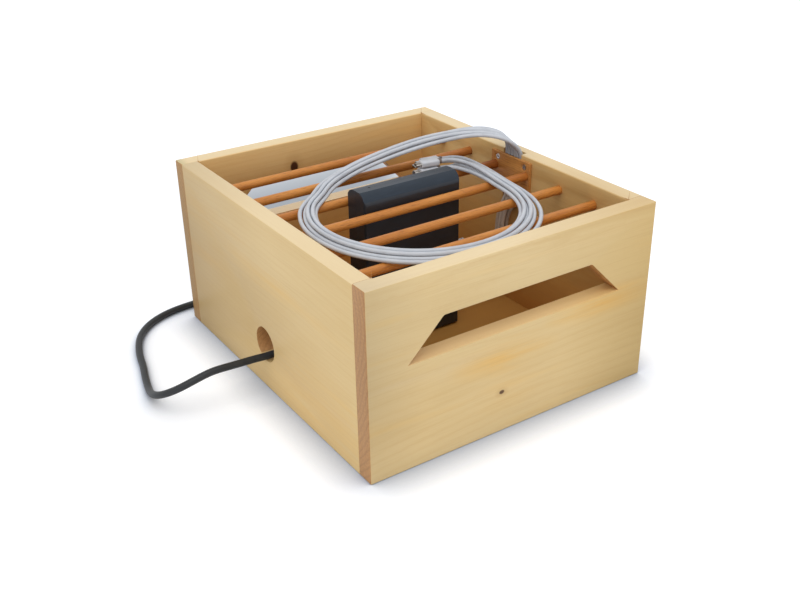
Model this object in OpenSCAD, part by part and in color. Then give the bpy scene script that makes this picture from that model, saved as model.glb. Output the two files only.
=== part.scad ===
// Laptop charging box: an open pine crate with handle slots and divider rods,
// a charger standing in its middle slot, six laptop leads that rise behind a
// cover plate and lie in a ring on the rods, and the charger's mains lead.
// Millimetres. X runs left to right, Y front to back and Z up. The origin is
// on the table, under the middle of the crate.

/* [Crate] */
// Outer width of the crate, left to right
box_w = 350; // [346:1:370]
// Outer depth of the crate, front to back
box_d = 410; // [400:1:440]
// Outer height of the crate
box_h = 204; // [200:1:212]
// Thickness of the pine walls
board = 20; // [19:0.5:21]
// Radius of the eased outer and rim edges
edge_r = 2; // [1:0.25:3]
// Thickness of the floor board
floor_t = 10; // [8:0.5:12]
// Height of the floor board's underside above the table
floor_lift = 4; // [3:0.5:6]
// Depth of the grooves that hold the floor board
groove_depth = 5; // [4:0.5:7]
// Clearance above and around the floor board in its grooves
groove_fit = 0.1; // [0.05:0.05:0.3]

/* [Handle slots] */
// Width of a handle slot along its top edge
slot_w = 182; // [160:1:200]
// Distance of the slot's lower edge below the rim
slot_drop = 88; // [86:1:100]
// Height of the slot itself
slot_h = 40; // [30:1:42]
// Radius of the slot's upper corners
slot_r = 5; // [2:0.5:8]

/* [Divider rods] */
// Number of divider rods
rod_n = 6; // [4:2:6]
// Diameter of a rod
rod_d = 10; // [8:0.5:12]
// Distance of the rods' axes below the rim
rod_drop = 22.3; // [22:0.1:26]
// Depth of the blind holes that hold the rods' ends
rod_socket = 12; // [8:0.5:14]
// Gap between a rod's end and the bottom of its hole
rod_gap = 0.5; // [0.2:0.1:1]
// Radial clearance of a rod in its holes
rod_fit = 0.05; // [0.03:0.01:0.1]

/* [Corner pins] */
// Number of hidden pins in each corner
pin_n = 3; // [2:1:3]
// Diameter of a corner pin
pin_d = 8; // [6:0.5:9]
// Depth of a pin's hole in the front or back wall
pin_front = 12; // [10:1:15]
// Depth of a pin's hole in the end of a side wall
pin_side = 24; // [18:1:30]
// Height of the lowest pin
pin_z = 35; // [30:1:40]
// Height from one pin to the next
pin_step = 67; // [50:1:68]
// Gap at each end of a pin
pin_gap = 0.5; // [0.2:0.1:1]
// Radial clearance of a pin
pin_fit = 0.05; // [0.03:0.01:0.1]

/* [Cable hole] */
// Diameter of the mains lead's hole in the left wall
hole_d = 40; // [36:1:44]
// Distance of the hole behind the crate's middle
hole_y = 3; // [0:0.5:5]
// Height of the hole's centre
hole_z = 55; // [52:1:60]

/* [Lead channel and cover plate] */
// Depth of the channel in the right wall
channel_depth = 8; // [4.9:0.1:9]
// Width of the channel
channel_w = 31; // [30:0.5:34]
// Distance of the channel's lower end below the rim
channel_drop = 99; // [90:1:110]
// Thickness of the cover plate
plate_t = 3; // [2.5:0.25:4]
// Distance of the plate's lower edge below the rim
plate_drop = 44; // [40:1:50]
// Distance of the plate's upper edge below the rim
plate_top_drop = 5.5; // [3:0.5:6]
// Width of the plate beyond the outer side of its rod holes
plate_rim = 2.4; // [1.5:0.1:5]
// Radius of the plate's corners
plate_r = 1.5; // [0.5:0.25:3]
// Diameter of a plate screw's shank
plate_screw_d = 3.5; // [3:0.1:4]
// Diameter of a plate screw's head
plate_screw_head = 7; // [6:0.1:7.5]
// Length of a plate screw
plate_screw_len = 15; // [12:0.5:18]
// Diameter of the recess round a plate screw's head
plate_recess_d = 9; // [8:0.1:9.4]
// Depth of a plate screw's head below the plate's face
plate_recess = 0.8; // [0.2:0.1:1]
// Distance of the plate screws below the rim
plate_screw_drop = 12.7; // [11.5:0.1:13]
// Distance of a plate screw from its rod's axis, towards the middle
plate_screw_in = 3.6; // [3:0.1:5]

/* [Charger shell] */
// Length of the charger, left to right
charger_w = 124; // [122:1:126]
// Thickness of the charger, front to back
charger_d = 36; // [35:0.5:38]
// Height of the charger's shell
charger_h = 188; // [186:0.5:189]
// Distance of the charger to the right of the crate's middle
charger_x = 4; // [2:0.5:6]
// Wall thickness of the shell
shell_wall = 2.2; // [1.8:0.1:2.6]
// Distance along the shell's top from its front corner to where its eased edge starts
shell_edge_top = 10; // [8:0.5:11]
// Distance down the shell's front from that corner to where its eased edge starts
shell_edge_front = 12; // [10:0.5:13]
// Radius of that eased edge, a shallow arc between two crisp lines
shell_edge_r = 18; // [16:0.5:24]
// Radius of the shell's rear top edge
shell_rear_r = 14; // [10:0.5:14]
// Radius of the shell's bottom edges
shell_base_r = 3; // [2.8:0.1:4]
// Radius of the shell's upright edges
shell_end_r = 2.5; // [1:0.25:4]
// Diameter of a rubber foot
foot_d = 9; // [6:0.5:11]
// Height of a rubber foot
foot_h = 1.3; // [1:0.1:2]
// Gap between the feet and the floor board
foot_gap = 0.2; // [0.1:0.05:0.3]
// Distance of the feet from the charger's middle, left and right
foot_x = 48; // [35:1:52]
// Distance of the feet from the charger's middle, front and back
foot_y = 8; // [6:0.5:9]
// Diameter of the status light on the top
light_d = 2.4; // [2:0.1:2.6]
// Distance of the status light left of the charger's middle
light_x = 44; // [35:1:50]
// Distance of the status light behind the charger's middle
light_y = 1.6; // [1.4:0.1:2]
// Height that the status light stands above the shell
light_rise = 0.3; // [0.1:0.1:0.5]

/* [Charger inside] */
// Thickness of the circuit board
pcb_t = 1.6; // [1.2:0.1:2]
// Gap between the circuit board's edge and the shell's ends
pcb_gap = 3.8; // [3.2:0.1:5]
// Height of the circuit board's lower edge above the shell's base
pcb_low = 8.5; // [7:0.5:10]
// Height of the circuit board
pcb_h = 170; // [166:1:171]
// Diameter of the posts that carry the circuit board
post_d = 8; // [7.6:0.1:9]
// Diameter of the posts' tips, which pass through the circuit board
post_tip_d = 5; // [4.4:0.1:5.5]
// Clearance round the posts' tips in the circuit board
post_fit = 0.15; // [0.1:0.05:0.3]
// Distance of the outer posts from the shell's ends
post_in = 12; // [11.5:0.5:13]
// Height of the upper posts above the shell's base
post_top = 170.5; // [166:0.5:171]
// Height of the lower left post above the shell's base
post_left = 50.5; // [48:0.5:60]
// Height of the lower right post above the shell's base
post_right = 18.5; // [15:0.5:22]
// Diameter of a shell screw's shank
shell_screw_d = 2.5; // [2:0.1:3]
// Diameter of a shell screw's head
shell_screw_head = 5.4; // [5:0.1:5.6]
// Height of a shell screw's head
shell_screw_head_h = 2.2; // [1.5:0.1:3]
// Length of a shell screw's shank
shell_screw_len = 15; // [12:0.5:16]
// Thickness of the rear posts' floors under the screw heads
post_floor = 4; // [3:0.5:6]
// Radial clearance of a shell screw
screw_fit = 0.05; // [0.03:0.01:0.1]
// Side of the square transformer
transformer_w = 30; // [24:1:34]
// Height of the transformer on its board
transformer_h = 16; // [12:0.5:16.5]
// Diameter of a capacitor
capacitor_d = 14; // [10:0.5:16]
// Height of a capacitor on its board
capacitor_h = 15; // [12:0.5:16.5]
// Width of the heat sink
sink_w = 30; // [24:1:34]
// Height of the heat sink along the board
sink_len = 60; // [40:1:62]
// Thickness of the heat sink's base
sink_base = 3; // [2:0.5:4]
// Depth of the heat sink, base and fins
sink_d = 14; // [10:0.5:16]
// Thickness of a fin
fin_t = 1.2; // [0.8:0.1:1.6]
// Number of fins
fin_n = 6; // [4:1:8]

/* [Output sockets and lead plugs] */
// Height of the lowest output socket above the shell's base
port_low = 32.5; // [32:0.5:35]
// Height from one output socket to the next
port_step = 11.8; // [11.6:0.1:14]
// Length of the slot in a socket
port_w = 8.5; // [8.5:0.05:8.7]
// Width of the slot in a socket
port_t = 2.6; // [2.6:0.02:2.7]
// Wall of a socket's metal shell
port_wall = 0.25; // [0.2:0.05:0.4]
// Depth of a socket
port_depth = 11; // [10:0.5:12]
// Thickness of a socket's contact tongue
tongue_t = 0.7; // [0.5:0.05:0.8]
// Width of a socket's contact tongue
tongue_w = 6; // [5.5:0.1:6.2]
// Length of a socket's contact tongue
tongue_len = 5; // [4:0.25:6]
// Length of a plug tip's oblong section
tip_w = 8.3; // [8.2:0.02:8.34]
// Width of a plug tip's oblong section
tip_t = 2.4; // [2.3:0.02:2.46]
// Wall of a plug's metal tip
tip_wall = 0.3; // [0.25:0.05:0.4]
// Length of a plug's metal tip
tip_len = 6.5; // [6:0.1:7]
// Length of a plug body at the charger
end_plug_len = 20; // [16:0.5:24]
// Width of a plug body at the charger
end_plug_w = 10.5; // [9:0.25:11.25]
// Thickness of a plug body at the charger
end_plug_t = 6.5; // [6:0.25:8]
// Gap between a plug body and the shell
end_plug_gap = 0.4; // [0.2:0.1:1]
// Length of a plug's short strain relief
end_relief_len = 7.6; // [6:0.2:9]
// Length of a plug body at the laptop end
far_plug_len = 22; // [18:0.5:24]
// Width of a plug body at the laptop end
far_plug_w = 12; // [10:0.5:12.5]
// Thickness of a plug body at the laptop end
far_plug_t = 7; // [5.5:0.25:7.5]
// Radius of a laptop plug body's edges
far_plug_r = 2; // [1:0.25:2.5]
// Length of the collar between a laptop lead and its plug
collar_len = 4; // [3:0.25:5]
// Diameter of the collar
collar_d = 6.5; // [5:0.25:7]

/* [Laptop leads] */
// Diameter of a laptop lead
lead_d = 4.5; // [4:0.05:4.6]
// Distance from one lead to the next in the channel
lead_lane = 5; // [4.95:0.01:5.02]
// Radius of the ring that the leads lie in
ring_r = 115.5; // [113:0.5:117]
// Clearance between the ring and the rods under it
ring_fit = 0.3; // [0.2:0.05:0.6]
// Half the distance from one lead to the next in the ring's lower layer
ring_lane = 2.7; // [2.65:0.01:2.75]
// Distance from an upper lead's axis to the two that it lies on
ring_nest = 4.98; // [4.94:0.01:5.1]
// Share by which the leads spread at the front of the ring
ring_spread = 0.45; // [0:0.05:0.5]

/* [Mains inlet and connector] */
// Height of the mains inlet above the shell's base
inlet_z = 26.5; // [25:0.5:28]
// Height of the inlet's body
inlet_h = 27; // [26.8:0.1:28]
// Thickness of the inlet's body, front to back
inlet_w = 20; // [19.5:0.25:21]
// Depth of the inlet's body
inlet_depth = 22; // [20:0.5:24]
// Height of the inlet's hollow
inlet_hole_h = 24.4; // [24.2:0.1:25]
// Thickness of the inlet's hollow
inlet_hole_w = 16.8; // [16.6:0.1:17.5]
// Depth of the inlet's hollow
inlet_hole_depth = 17; // [16.4:0.1:18]
// Height of a contact blade
blade_h = 4; // [3:0.25:5]
// Thickness of a contact blade
blade_t = 2; // [1.5:0.1:2.5]
// Length of a contact blade
blade_len = 12; // [10:0.5:13]
// Distance between the two contact blades
blade_gap = 10; // [8:0.5:12]
// Clearance round a blade in the connector
blade_fit = 0.3; // [0.2:0.05:0.5]
// Clearance round the inlet and the sockets in the shell and the board
inlet_fit = 0.1; // [0.05:0.05:0.2]
// Clearance round the connector's nose in the inlet
nose_fit = 0.4; // [0.2:0.05:0.6]
// Length of the connector's nose
nose_len = 16; // [14:0.5:16.2]
// Length of the connector's body outside the inlet
connector_len = 28; // [24:1:32]
// Radius of the connector body's edges
connector_r = 4; // [2:0.5:6]
// Length of the connector's strain relief
connector_relief = 26; // [20:1:28]

/* [Mains lead and plug] */
// Diameter of the mains lead
mains_d = 8; // [7:0.1:8.1]
// Radius of the mains coil at its outside
coil_r = 56; // [54:0.5:56]
// Distance from one turn of the coil to the next, in and up
coil_step = 8.6; // [8.5:0.05:8.8]
// Clearance between the coil and its tie
tie_fit = 0.15; // [0.1:0.05:0.3]
// Thickness of the coil's tie
tie_t = 0.9; // [0.7:0.05:1]
// Width of the coil's tie
tie_w = 10; // [6:1:16]
// Length of the mains plug's strain relief
plug_relief = 30; // [20:1:40]
// Diameter of the mains plug
plug_d = 37; // [34:0.5:37.2]
// Length of the mains plug's wide part
plug_face_len = 14; // [10:0.5:18]
// Length of the mains plug's tapered part
plug_taper_len = 18; // [14:0.5:24]
// Diameter of a mains plug pin
plug_pin_d = 4.8; // [4:0.1:4.9]
// Length of a mains plug pin
plug_pin_len = 19; // [17:0.5:20]
// Distance between the mains plug's pins
plug_pin_gap = 19; // [17:0.5:20]

/* [Hidden] */
$fn = 48;
over = 1;
fine = 0.01;
x_in = box_w / 2 - board;
y_in = box_d / 2 - board;
floor_top = floor_lift + floor_t;
slot_z = box_h - slot_drop;
rod_z = box_h - rod_drop;
channel_z = box_h - channel_drop;
plate_z = box_h - plate_drop;
plate_top = box_h - plate_top_drop;
plate_screw_z = box_h - plate_screw_drop;

rod_step = (2 * y_in - rod_n * rod_d) / (rod_n + 1) + rod_d;
rod_len = 2 * (x_in + rod_socket - rod_gap);
plate_w = rod_step + rod_d + 2 * rod_fit + 2 * plate_rim;
plate_screw_y = rod_step / 2 - plate_screw_in;

base_z = floor_top + foot_gap + foot_h;
charger_left = charger_x - charger_w / 2;
charger_right = charger_x + charger_w / 2;
inner_d = charger_d - 2 * shell_wall;
// The middle of the eased edge's arc, from where the corner would be, and how much
// the edge takes off that corner
shell_edge_chord = norm([shell_edge_top, shell_edge_front]);
shell_edge_back = sqrt(shell_edge_r ^ 2 - shell_edge_chord ^ 2 / 4) / shell_edge_chord;
shell_edge_mid = [shell_edge_top / 2 + shell_edge_back * shell_edge_front,
    -shell_edge_front / 2 - shell_edge_back * shell_edge_top];
shell_edge_cut = norm(shell_edge_mid) - shell_edge_r;
socket_w = port_w + 2 * port_wall;
socket_t = port_t + 2 * port_wall;
pcb_rear = -socket_t / 2;
pcb_front = pcb_rear - pcb_t;
posts = [
    [charger_left + post_in, post_left],
    [charger_left + post_in, post_top],
    [charger_right - post_in, post_right],
    [charger_right - post_in, post_top],
];
// The tall parts on the board: their middles from the charger's middle and
// from the shell's base
transformer_at = [-15, 72];
capacitors_at = [[-25, 114], [-25, 134], [-5, 124]];
sink_at = [26, 135];
capacitor_cap = 1;

end_plug_x = charger_right + end_plug_gap;
end_relief_x = end_plug_x + end_plug_len;
riser_end = end_relief_x + end_relief_len;
end_relief_r = 0.5;

connector_x = charger_left;
relief_x = connector_x - connector_len;
mains_start = relief_x - connector_relief;
mains_z = base_z + inlet_z;
// Where the mains lead passes the middle of the left wall
mains_out = [-x_in - board / 2, 2.6, 41];

// A riser's way, as places from the right wall's inner face and heights from the
// ring: down the channel, then below the plate out of it in a rear and a front row
riser_down = [[2.5, -13.3], [2.5, -19.3], [2.5, -31.3]];
riser_out = [[[1.5, -44.3], [-1, -57.3]], [[-3, -44.3], [-8, -57.3]]];
// Each lead's row and its place there, and the shares of the way from its lane to
// that place at the two points
riser_rows = [1, 1, 1, 0, 0, 0];
riser_places = [5, 0, 10, 4, 10, -1];
riser_shift = [0.3, 1];
// How far a riser sags below its socket, by row near the wall, and near the plug
riser_far = [[-5, 30], [-17, 30]];
riser_near = [21, 22];
riser_room = 10;
riser_steps = 5;
// Leads in the channel run in lanes on both sides of the middle: lead 1 and
// lead 2 nearest to it, 5 and 6 farthest out
function lane(k) = (k % 2 == 0 ? 1 : -1) * (floor(k / 2) + 0.5) * lead_lane;
// Lanes in the ring, in half steps, and the leads that lie on top
ring_lanes = [0, -1, 1, -2, 3, -3];
ring_upper = [1, 0, 0, 1, 0, 0];
ring_mid = [x_in - 169, -54];
ring_from = 125;
ring_to = 350;
ring_turn = 15;
// Shares of the arch over which the leads go from their lanes in the channel to
// those in the ring, and over which the upper ones climb onto the others
lane_change = [0.45, 1];
lead_climb = [0.12, 0.5];
// Level shares of a heading at which a lead's side starts to turn and is level
side_turn = [0.2, 0.6];
ring_z = rod_z + rod_d / 2 + lead_d / 2 + ring_fit;

// The leads' ways have X from the right wall's inner face and Z from the ring.
// First their common way from the channel, up and over, to the ring
arch = [
    [2.5, 0, -13.3], [2.5, 0, -1.3], [2.5, 0, 9.7], [0.5, 0.5, 19.7], [-6, 2, 29.2],
    [-17, 6.5, 36.2], [-35, 17, 40.2], [-61, 37, 35.7], [-92, 55, 27.7],
    [-125, 68, 18.7], [-163, 73.5, 9.7], [-200, 65, 3.7], [-219, 54.5, 1.7],
];
// Each lead's own way from the ring to its plug
tails = [
    [[-51, -45, 4.6], [-47.6, -13, 4.7], [-48.5, 13, 4.9], [-53, 31, 4.3], [-58, 41.5, 3.1]],
    [[-54, -45, 0], [-50.5, -13, 0], [-51.2, 12, 0], [-54, 30, -0.5], [-58, 41.5, -6.3]],
    [[-48.2, -45, 0], [-44.8, -12, 0], [-44.8, 14, 0.2], [-46.2, 37, -1.3], [-49.5, 53, -8.8]],
    [[-56.8, -45, 4.5], [-53.5, -16, 5.7], [-54.5, 6, 7.7], [-58.5, 20, 8.9], [-64.5, 30, 9.2]],
    [[-42.5, -45, 0], [-38.7, -9, 1.2], [-38.2, 18, 2.2], [-39.5, 40, 2.2], [-44, 54, 0.9]],
    [[-59.5, -45, 0], [-56, -16, 0], [-57, 6, 0.1], [-61, 20, 0.6], [-67, 29.5, 1]],
];
plug_ends = [
    [-71, 47.8, 2.5], [-71, 47.5, -9.3], [-63, 59.5, -11.3],
    [-77, 35, 9.2], [-58, 60.5, 0.2], [-79, 34.5, 1],
];
plug_yaw = 171.4;
plug_stub = 5;
lead_n = len(plug_ends);

// Shares of the mains lead's way inside the crate, where it bends towards the
// cable hole
inside_shares = [0.15, 0.36, 0.6, 0.82];
// The mains lead outside, with X from the left wall's outer face: first from the
// cable hole down to the table, with Y from the crate's middle
side_way = [
    [1, 2.6, 41], [-11, 3, 41.6], [-29, 3, 42.4], [-47, 3, 43.2], [-63, 3.5, 43],
    [-77, 4, 40.5], [-89, 6, 36.5], [-100, 11, 31], [-109, 20, 24.5], [-114, 32, 18],
    [-115, 46, 12], [-113, 62, 7], [-109, 80, 4.6],
];
// Then round the corner and along the back to the coil, with Y from the back
// wall's outer face
back_way = [
    [-104, -105, 4.3], [-98, -83, 4.3], [-93, -61, 4.3], [-86, -39, 4.3],
    [-76, -18, 4.3], [-61, 0, 4.3], [-42, 13, 4.3], [-20, 21, 4.3], [3, 24, 4.3],
    [26, 24.5, 4.3], [49, 24, 4.4], [71, 23.4, 4.8], [89, 23, 5.3], [98, 23, 5.3],
];
coil_at = [115, 79];
coil_mid = [coil_at[0] - box_w / 2, coil_at[1] + box_d / 2, 0];
coil_z = 5.3;
coil_in = 2.25;
coil_out = 1.75;
coil_climb = 0.5;
coil_rings = 24;
// The mains lead from the coil to its plug, with X and Y from the coil's middle
end_way = [[16, -51.7, 13.9], [28, -51, 14.6], [43, -49.3, 16.6], [58, -48, 18.7]];
plug_at = [67, -48, 18.7];
plug_start = coil_mid + plug_at;
plug_relief_r = 6.5;
plug_neck_r = 9;
plug_edge = 1.5;
pin_tip = 1.2;
lead_sides = 8;
mains_sides = 10;
coil_sides = 6;

wood = [0.85, 0.73, 0.53];
rod_wood = [0.75, 0.45, 0.24];
white = [0.82, 0.83, 0.87];
steel = [0.72, 0.72, 0.74];
black = [0.12, 0.12, 0.14];
dark_blue = [0.2, 0.23, 0.28];
green = [0.1, 0.4, 0.2];
copper = [0.7, 0.42, 0.2];
grey = [0.55, 0.56, 0.58];

// Extrusions along X and along Y of a shape drawn as seen from +X or from -Y
module along_x(length) {
    rotate([90, 0, 90]) linear_extrude(length) children();
}

module along_y(length) {
    translate([0, length, 0]) rotate([90, 0, 0]) linear_extrude(length) children();
}

// A round bar along X or Y, from the origin
module bar_x(d, length) {
    rotate([0, 90, 0]) cylinder(d = d, h = length);
}

module bar_y(d, length) {
    rotate([-90, 0, 0]) cylinder(d = d, h = length);
}

// What a round corner leaves out, with the arc's middle at the origin
module corner_waste(r, turn) {
    rotate(turn) difference() {
        square(r + over);
        circle(r);
    }
}

// A rectangle, centred left and right, with its lower edge on the axis and its
// own radius in each corner
module outline(w, h, base_r, left_r, right_r) {
    difference() {
        translate([-w / 2, 0]) square([w, h]);
        translate([w / 2 - right_r, h - right_r]) corner_waste(right_r, 0);
        translate([left_r - w / 2, h - left_r]) corner_waste(left_r, 90);
        translate([base_r - w / 2, base_r]) corner_waste(base_r, 180);
        translate([w / 2 - base_r, base_r]) corner_waste(base_r, 270);
    }
}

module rounded(w, h, r) {
    translate([0, -h / 2]) outline(w, h, r, r, r);
}

// The crate's outer shape with its eased edges, from which each wall is cut
module crate_block() {
    intersection() {
        translate([-box_w / 2, 0, 0]) along_x(box_w) outline(box_d, box_h, edge_r, edge_r, edge_r);
        translate([0, -box_d / 2, 0]) along_y(box_d) outline(box_w, box_h, edge_r, edge_r, edge_r);
        linear_extrude(box_h) rounded(box_w, box_d, edge_r);
    }
}

// The waste over an inner rim edge that runs along X at the front, or along Y
// at the left
module front_rim_waste() {
    translate([-x_in, -y_in - edge_r, box_h - edge_r]) along_x(2 * x_in) corner_waste(edge_r, 0);
}

module left_rim_waste() {
    translate([-x_in - edge_r, -y_in, box_h - edge_r]) along_y(2 * y_in) corner_waste(edge_r, 0);
}

// The space of the floor board and its grooves, larger by a clearance
module floor_space(gap) {
    w = 2 * (x_in + groove_depth + gap - groove_fit);
    d = 2 * (y_in + groove_depth + gap - groove_fit);
    translate([-w / 2, -d / 2, floor_lift]) cube([w, d, floor_t + gap]);
}

// Corner pins of the front left corner, larger all round by a clearance
module corner_pin_set(gap, end_gap) {
    for (i = [0:pin_n - 1]) {
        translate([board / 2 - box_w / 2, end_gap - y_in - pin_front, pin_z + i * pin_step])
            bar_y(pin_d + 2 * gap, pin_front + pin_side - 2 * end_gap);
    }
}

// Shapes that lie alike in both halves
module both_x() {
    children();
    mirror([1, 0, 0]) children();
}

module both_y() {
    children();
    mirror([0, 1, 0]) children();
}

module slot_outline() {
    low = slot_w / 2 + slot_h;
    turn = 45;
    mid = [slot_w / 2 - slot_r * tan(turn / 2), slot_h - slot_r];
    right = [for (a = [turn:turn / 4:90]) mid + slot_r * [cos(a), sin(a)]];
    left = [for (i = [len(right) - 1:-1:0]) [-right[i][0], right[i][1]]];
    polygon(concat([[-low, 0], [low, 0]], right, left));
}

module front_wall() {
    difference() {
        intersection() {
            crate_block();
            translate([-box_w / 2, -box_d / 2, 0]) cube([box_w, board, box_h]);
        }
        front_rim_waste();
        floor_space(groove_fit);
        both_x() corner_pin_set(pin_fit, 0);
        translate([0, -box_d / 2 - over, slot_z]) along_y(board + 2 * over) slot_outline();
    }
}

module front_panel() {
    color(wood) front_wall();
}

module back_panel() {
    color(wood) mirror([0, 1, 0]) front_wall();
}

function rod_y(i) = ((rod_n + 1) / 2 - i) * rod_step;

// A side wall, drawn as the left one, with all that both sides have
module side_wall() {
    difference() {
        intersection() {
            crate_block();
            translate([-box_w / 2, -y_in, 0]) cube([board, 2 * y_in, box_h]);
        }
        left_rim_waste();
        floor_space(groove_fit);
        both_y() corner_pin_set(pin_fit, 0);
        for (i = [1:rod_n]) {
            translate([-x_in - rod_socket, rod_y(i), rod_z]) bar_x(rod_d + 2 * rod_fit, rod_socket + over);
        }
    }
}

module left_panel() {
    color(wood) difference() {
        side_wall();
        translate([-box_w / 2 - over, hole_y, hole_z]) bar_x(hole_d, board + 2 * over);
    }
}

module right_panel() {
    color(wood) difference() {
        mirror([1, 0, 0]) side_wall();
        translate([x_in - over, -channel_w / 2, channel_z])
            cube([channel_depth + over, channel_w, box_h - channel_z + over]);
        at_plate_screws() bar_x(plate_screw_d + 2 * screw_fit, plate_screw_len + screw_fit);
    }
}

module bottom_board() {
    color(wood) floor_space(0);
}

module divider_rod(i) {
    color(rod_wood) translate([-rod_len / 2, rod_y(i), rod_z]) bar_x(rod_d, rod_len);
}

module corner_pins() {
    color(wood) both_x() both_y() corner_pin_set(0, pin_gap);
}

// The faces of the two plate screws' heads
module at_plate_screws() {
    both_y() translate([x_in - plate_t + plate_recess, plate_screw_y, plate_screw_z]) children();
}

// A countersunk screw along +X with its head's face at the origin
module countersunk(d, head, length, gap) {
    cone = (head - d) / 2;
    rotate([0, 90, 0]) cylinder(r1 = head / 2 + gap, r2 = d / 2 + gap, h = cone);
    bar_x(d + 2 * gap, length);
}

module lead_cover_plate() {
    color(rod_wood) difference() {
        translate([x_in - plate_t, 0, plate_z]) along_x(plate_t)
            outline(plate_w, plate_top - plate_z, plate_r, plate_r, plate_r);
        both_y() translate([x_in - plate_t - over, rod_step / 2, rod_z])
            bar_x(rod_d + 2 * rod_fit, plate_t + 2 * over);
        at_plate_screws() {
            translate([-plate_recess - over, 0, 0]) bar_x(plate_recess_d, plate_recess + over);
            countersunk(plate_screw_d, plate_screw_head, plate_t + over, screw_fit);
        }
    }
}

module cover_plate_screws() {
    cross_w = 0.9;
    cross_len = 3.6;
    cross_depth = 1.2;
    color(steel) at_plate_screws() difference() {
        countersunk(plate_screw_d, plate_screw_head, plate_screw_len, 0);
        translate([-over, -cross_w / 2, -cross_len / 2]) cube([cross_depth + over, cross_w, cross_len]);
        translate([-over, -cross_len / 2, -cross_w / 2]) cube([cross_depth + over, cross_len, cross_w]);
    }
}

// What the shell's eased front top edge leaves out, with the origin at the corner
module shell_edge_waste() {
    difference() {
        translate([-over, -shell_edge_front])
            square([shell_edge_top + over, shell_edge_front + over]);
        translate(shell_edge_mid) circle(shell_edge_r);
    }
}

// The charger's shell as one closed block, smaller all round by an inset. Inside,
// the front top edge is a plain round that leaves the wall its thickness
module shell_block(inset) {
    w = charger_w - 2 * inset;
    h = charger_h - 2 * inset;
    d = charger_d - 2 * inset;
    base_r = max(shell_base_r - inset, fine);
    front_r = inset > 0 ? (shell_edge_cut - inset * (sqrt(2) - 1)) / (sqrt(2) - 1) : fine;
    rear_r = shell_rear_r - inset;
    end_r = max(shell_end_r - inset, fine);
    translate([charger_x, 0, base_z + inset]) intersection() {
        translate([-w / 2, 0, 0]) along_x(w) difference() {
            outline(d, h, base_r, front_r, rear_r);
            if (inset == 0) translate([-d / 2, h]) shell_edge_waste();
        }
        linear_extrude(h) rounded(w, d, end_r);
    }
}

module shell_half(side) {
    depth = charger_d / 2;
    difference() {
        intersection() {
            shell_block(0);
            translate([charger_left, side < 0 ? -depth : 0, base_z]) cube([charger_w, depth, charger_h]);
        }
        shell_block(shell_wall);
        port_row(charger_right - shell_wall - over) along_x(shell_wall + 2 * over)
            rounded(socket_t + 2 * inlet_fit, socket_w + 2 * inlet_fit, socket_t / 2);
        translate([charger_left - over, 0, mains_z]) along_x(shell_wall + 2 * over)
            square([inlet_w + 2 * inlet_fit, inlet_h + 2 * inlet_fit], center = true);
    }
}

// Places in a row at the output sockets, from the lowest up
module port_row(x) {
    for (i = [0:lead_n - 1]) translate([x, 0, port_z(i)]) children();
}

function port_z(i) = base_z + port_low + i * port_step;

module at_posts(y) {
    for (p = posts) translate([p[0], y, base_z + p[1]]) children();
}

module charger_front_shell() {
    color(black) difference() {
        union() {
            shell_half(-1);
            at_posts(-inner_d / 2 - fine) bar_y(post_d, pcb_front + inner_d / 2 + fine);
            at_posts(pcb_front - fine) bar_y(post_tip_d, fine - pcb_front);
        }
        at_posts(post_floor - shell_screw_len - post_fit)
            bar_y(shell_screw_d + 2 * screw_fit, shell_screw_len + over);
    }
}

module charger_rear_shell() {
    color(black) difference() {
        union() {
            shell_half(1);
            at_posts(0) bar_y(post_d, inner_d / 2 + fine);
        }
        at_posts(-over) bar_y(shell_screw_d + 2 * post_fit, post_floor + 2 * over);
        at_posts(post_floor) bar_y(shell_screw_head + 2 * post_fit, charger_d / 2);
        translate([charger_x - light_x, light_y, base_z + charger_h - shell_wall - over])
            cylinder(d = light_d + 2 * screw_fit, h = shell_wall + 2 * over);
    }
}

module charger_circuit_board() {
    left = charger_left + shell_wall + pcb_gap;
    right = charger_right - shell_wall - pcb_gap;
    color(green) difference() {
        translate([left, pcb_front, base_z + pcb_low]) cube([right - left, pcb_t, pcb_h]);
        translate([left - over, pcb_front - over, base_z + pcb_low - over])
            cube([charger_left + inlet_depth + inlet_fit - left + over, pcb_t + 2 * over,
                  inlet_z + inlet_h / 2 + inlet_fit - pcb_low + over]);
        at_posts(pcb_front - over) bar_y(post_tip_d + 2 * post_fit, pcb_t + 2 * over);
    }
}

// Places on the rear face of the circuit board
module on_board(at) {
    translate([charger_x + at[0], pcb_rear, base_z + at[1]]) children();
}

module charger_transformer() {
    core = 0.42;
    winding = 0.8;
    color(copper) on_board(transformer_at) {
        along_y(transformer_h) square([transformer_w, core * transformer_w], center = true);
        along_y(winding * transformer_h)
            rounded(winding * transformer_w, transformer_w, core * transformer_w / 2);
    }
}

module charger_capacitors() {
    groove = 0.5;
    color(dark_blue) for (at = capacitors_at) on_board(at) {
        bar_y(capacitor_d, capacitor_h - capacitor_cap);
        bar_y(capacitor_d - 2 * groove, capacitor_h);
    }
}

module charger_heat_sink() {
    color(grey) on_board(sink_at) {
        along_y(sink_base) square([sink_w, sink_len], center = true);
        for (i = [0:fin_n - 1]) {
            translate([i * (sink_w - fin_t) / (fin_n - 1) - sink_w / 2, 0, -sink_len / 2])
                cube([fin_t, sink_d, sink_len]);
        }
    }
}

module charger_output_sockets() {
    back = 1;
    color(steel) port_row(charger_right - port_depth) {
        difference() {
            along_x(port_depth) rounded(socket_t, socket_w, socket_t / 2);
            translate([back, 0, 0]) along_x(port_depth) rounded(port_t, port_w, port_t / 2);
        }
        translate([back - fine, -tongue_t / 2, -tongue_w / 2])
            cube([port_depth - back - tip_len + tongue_len + fine, tongue_t, tongue_w]);
    }
}

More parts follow.
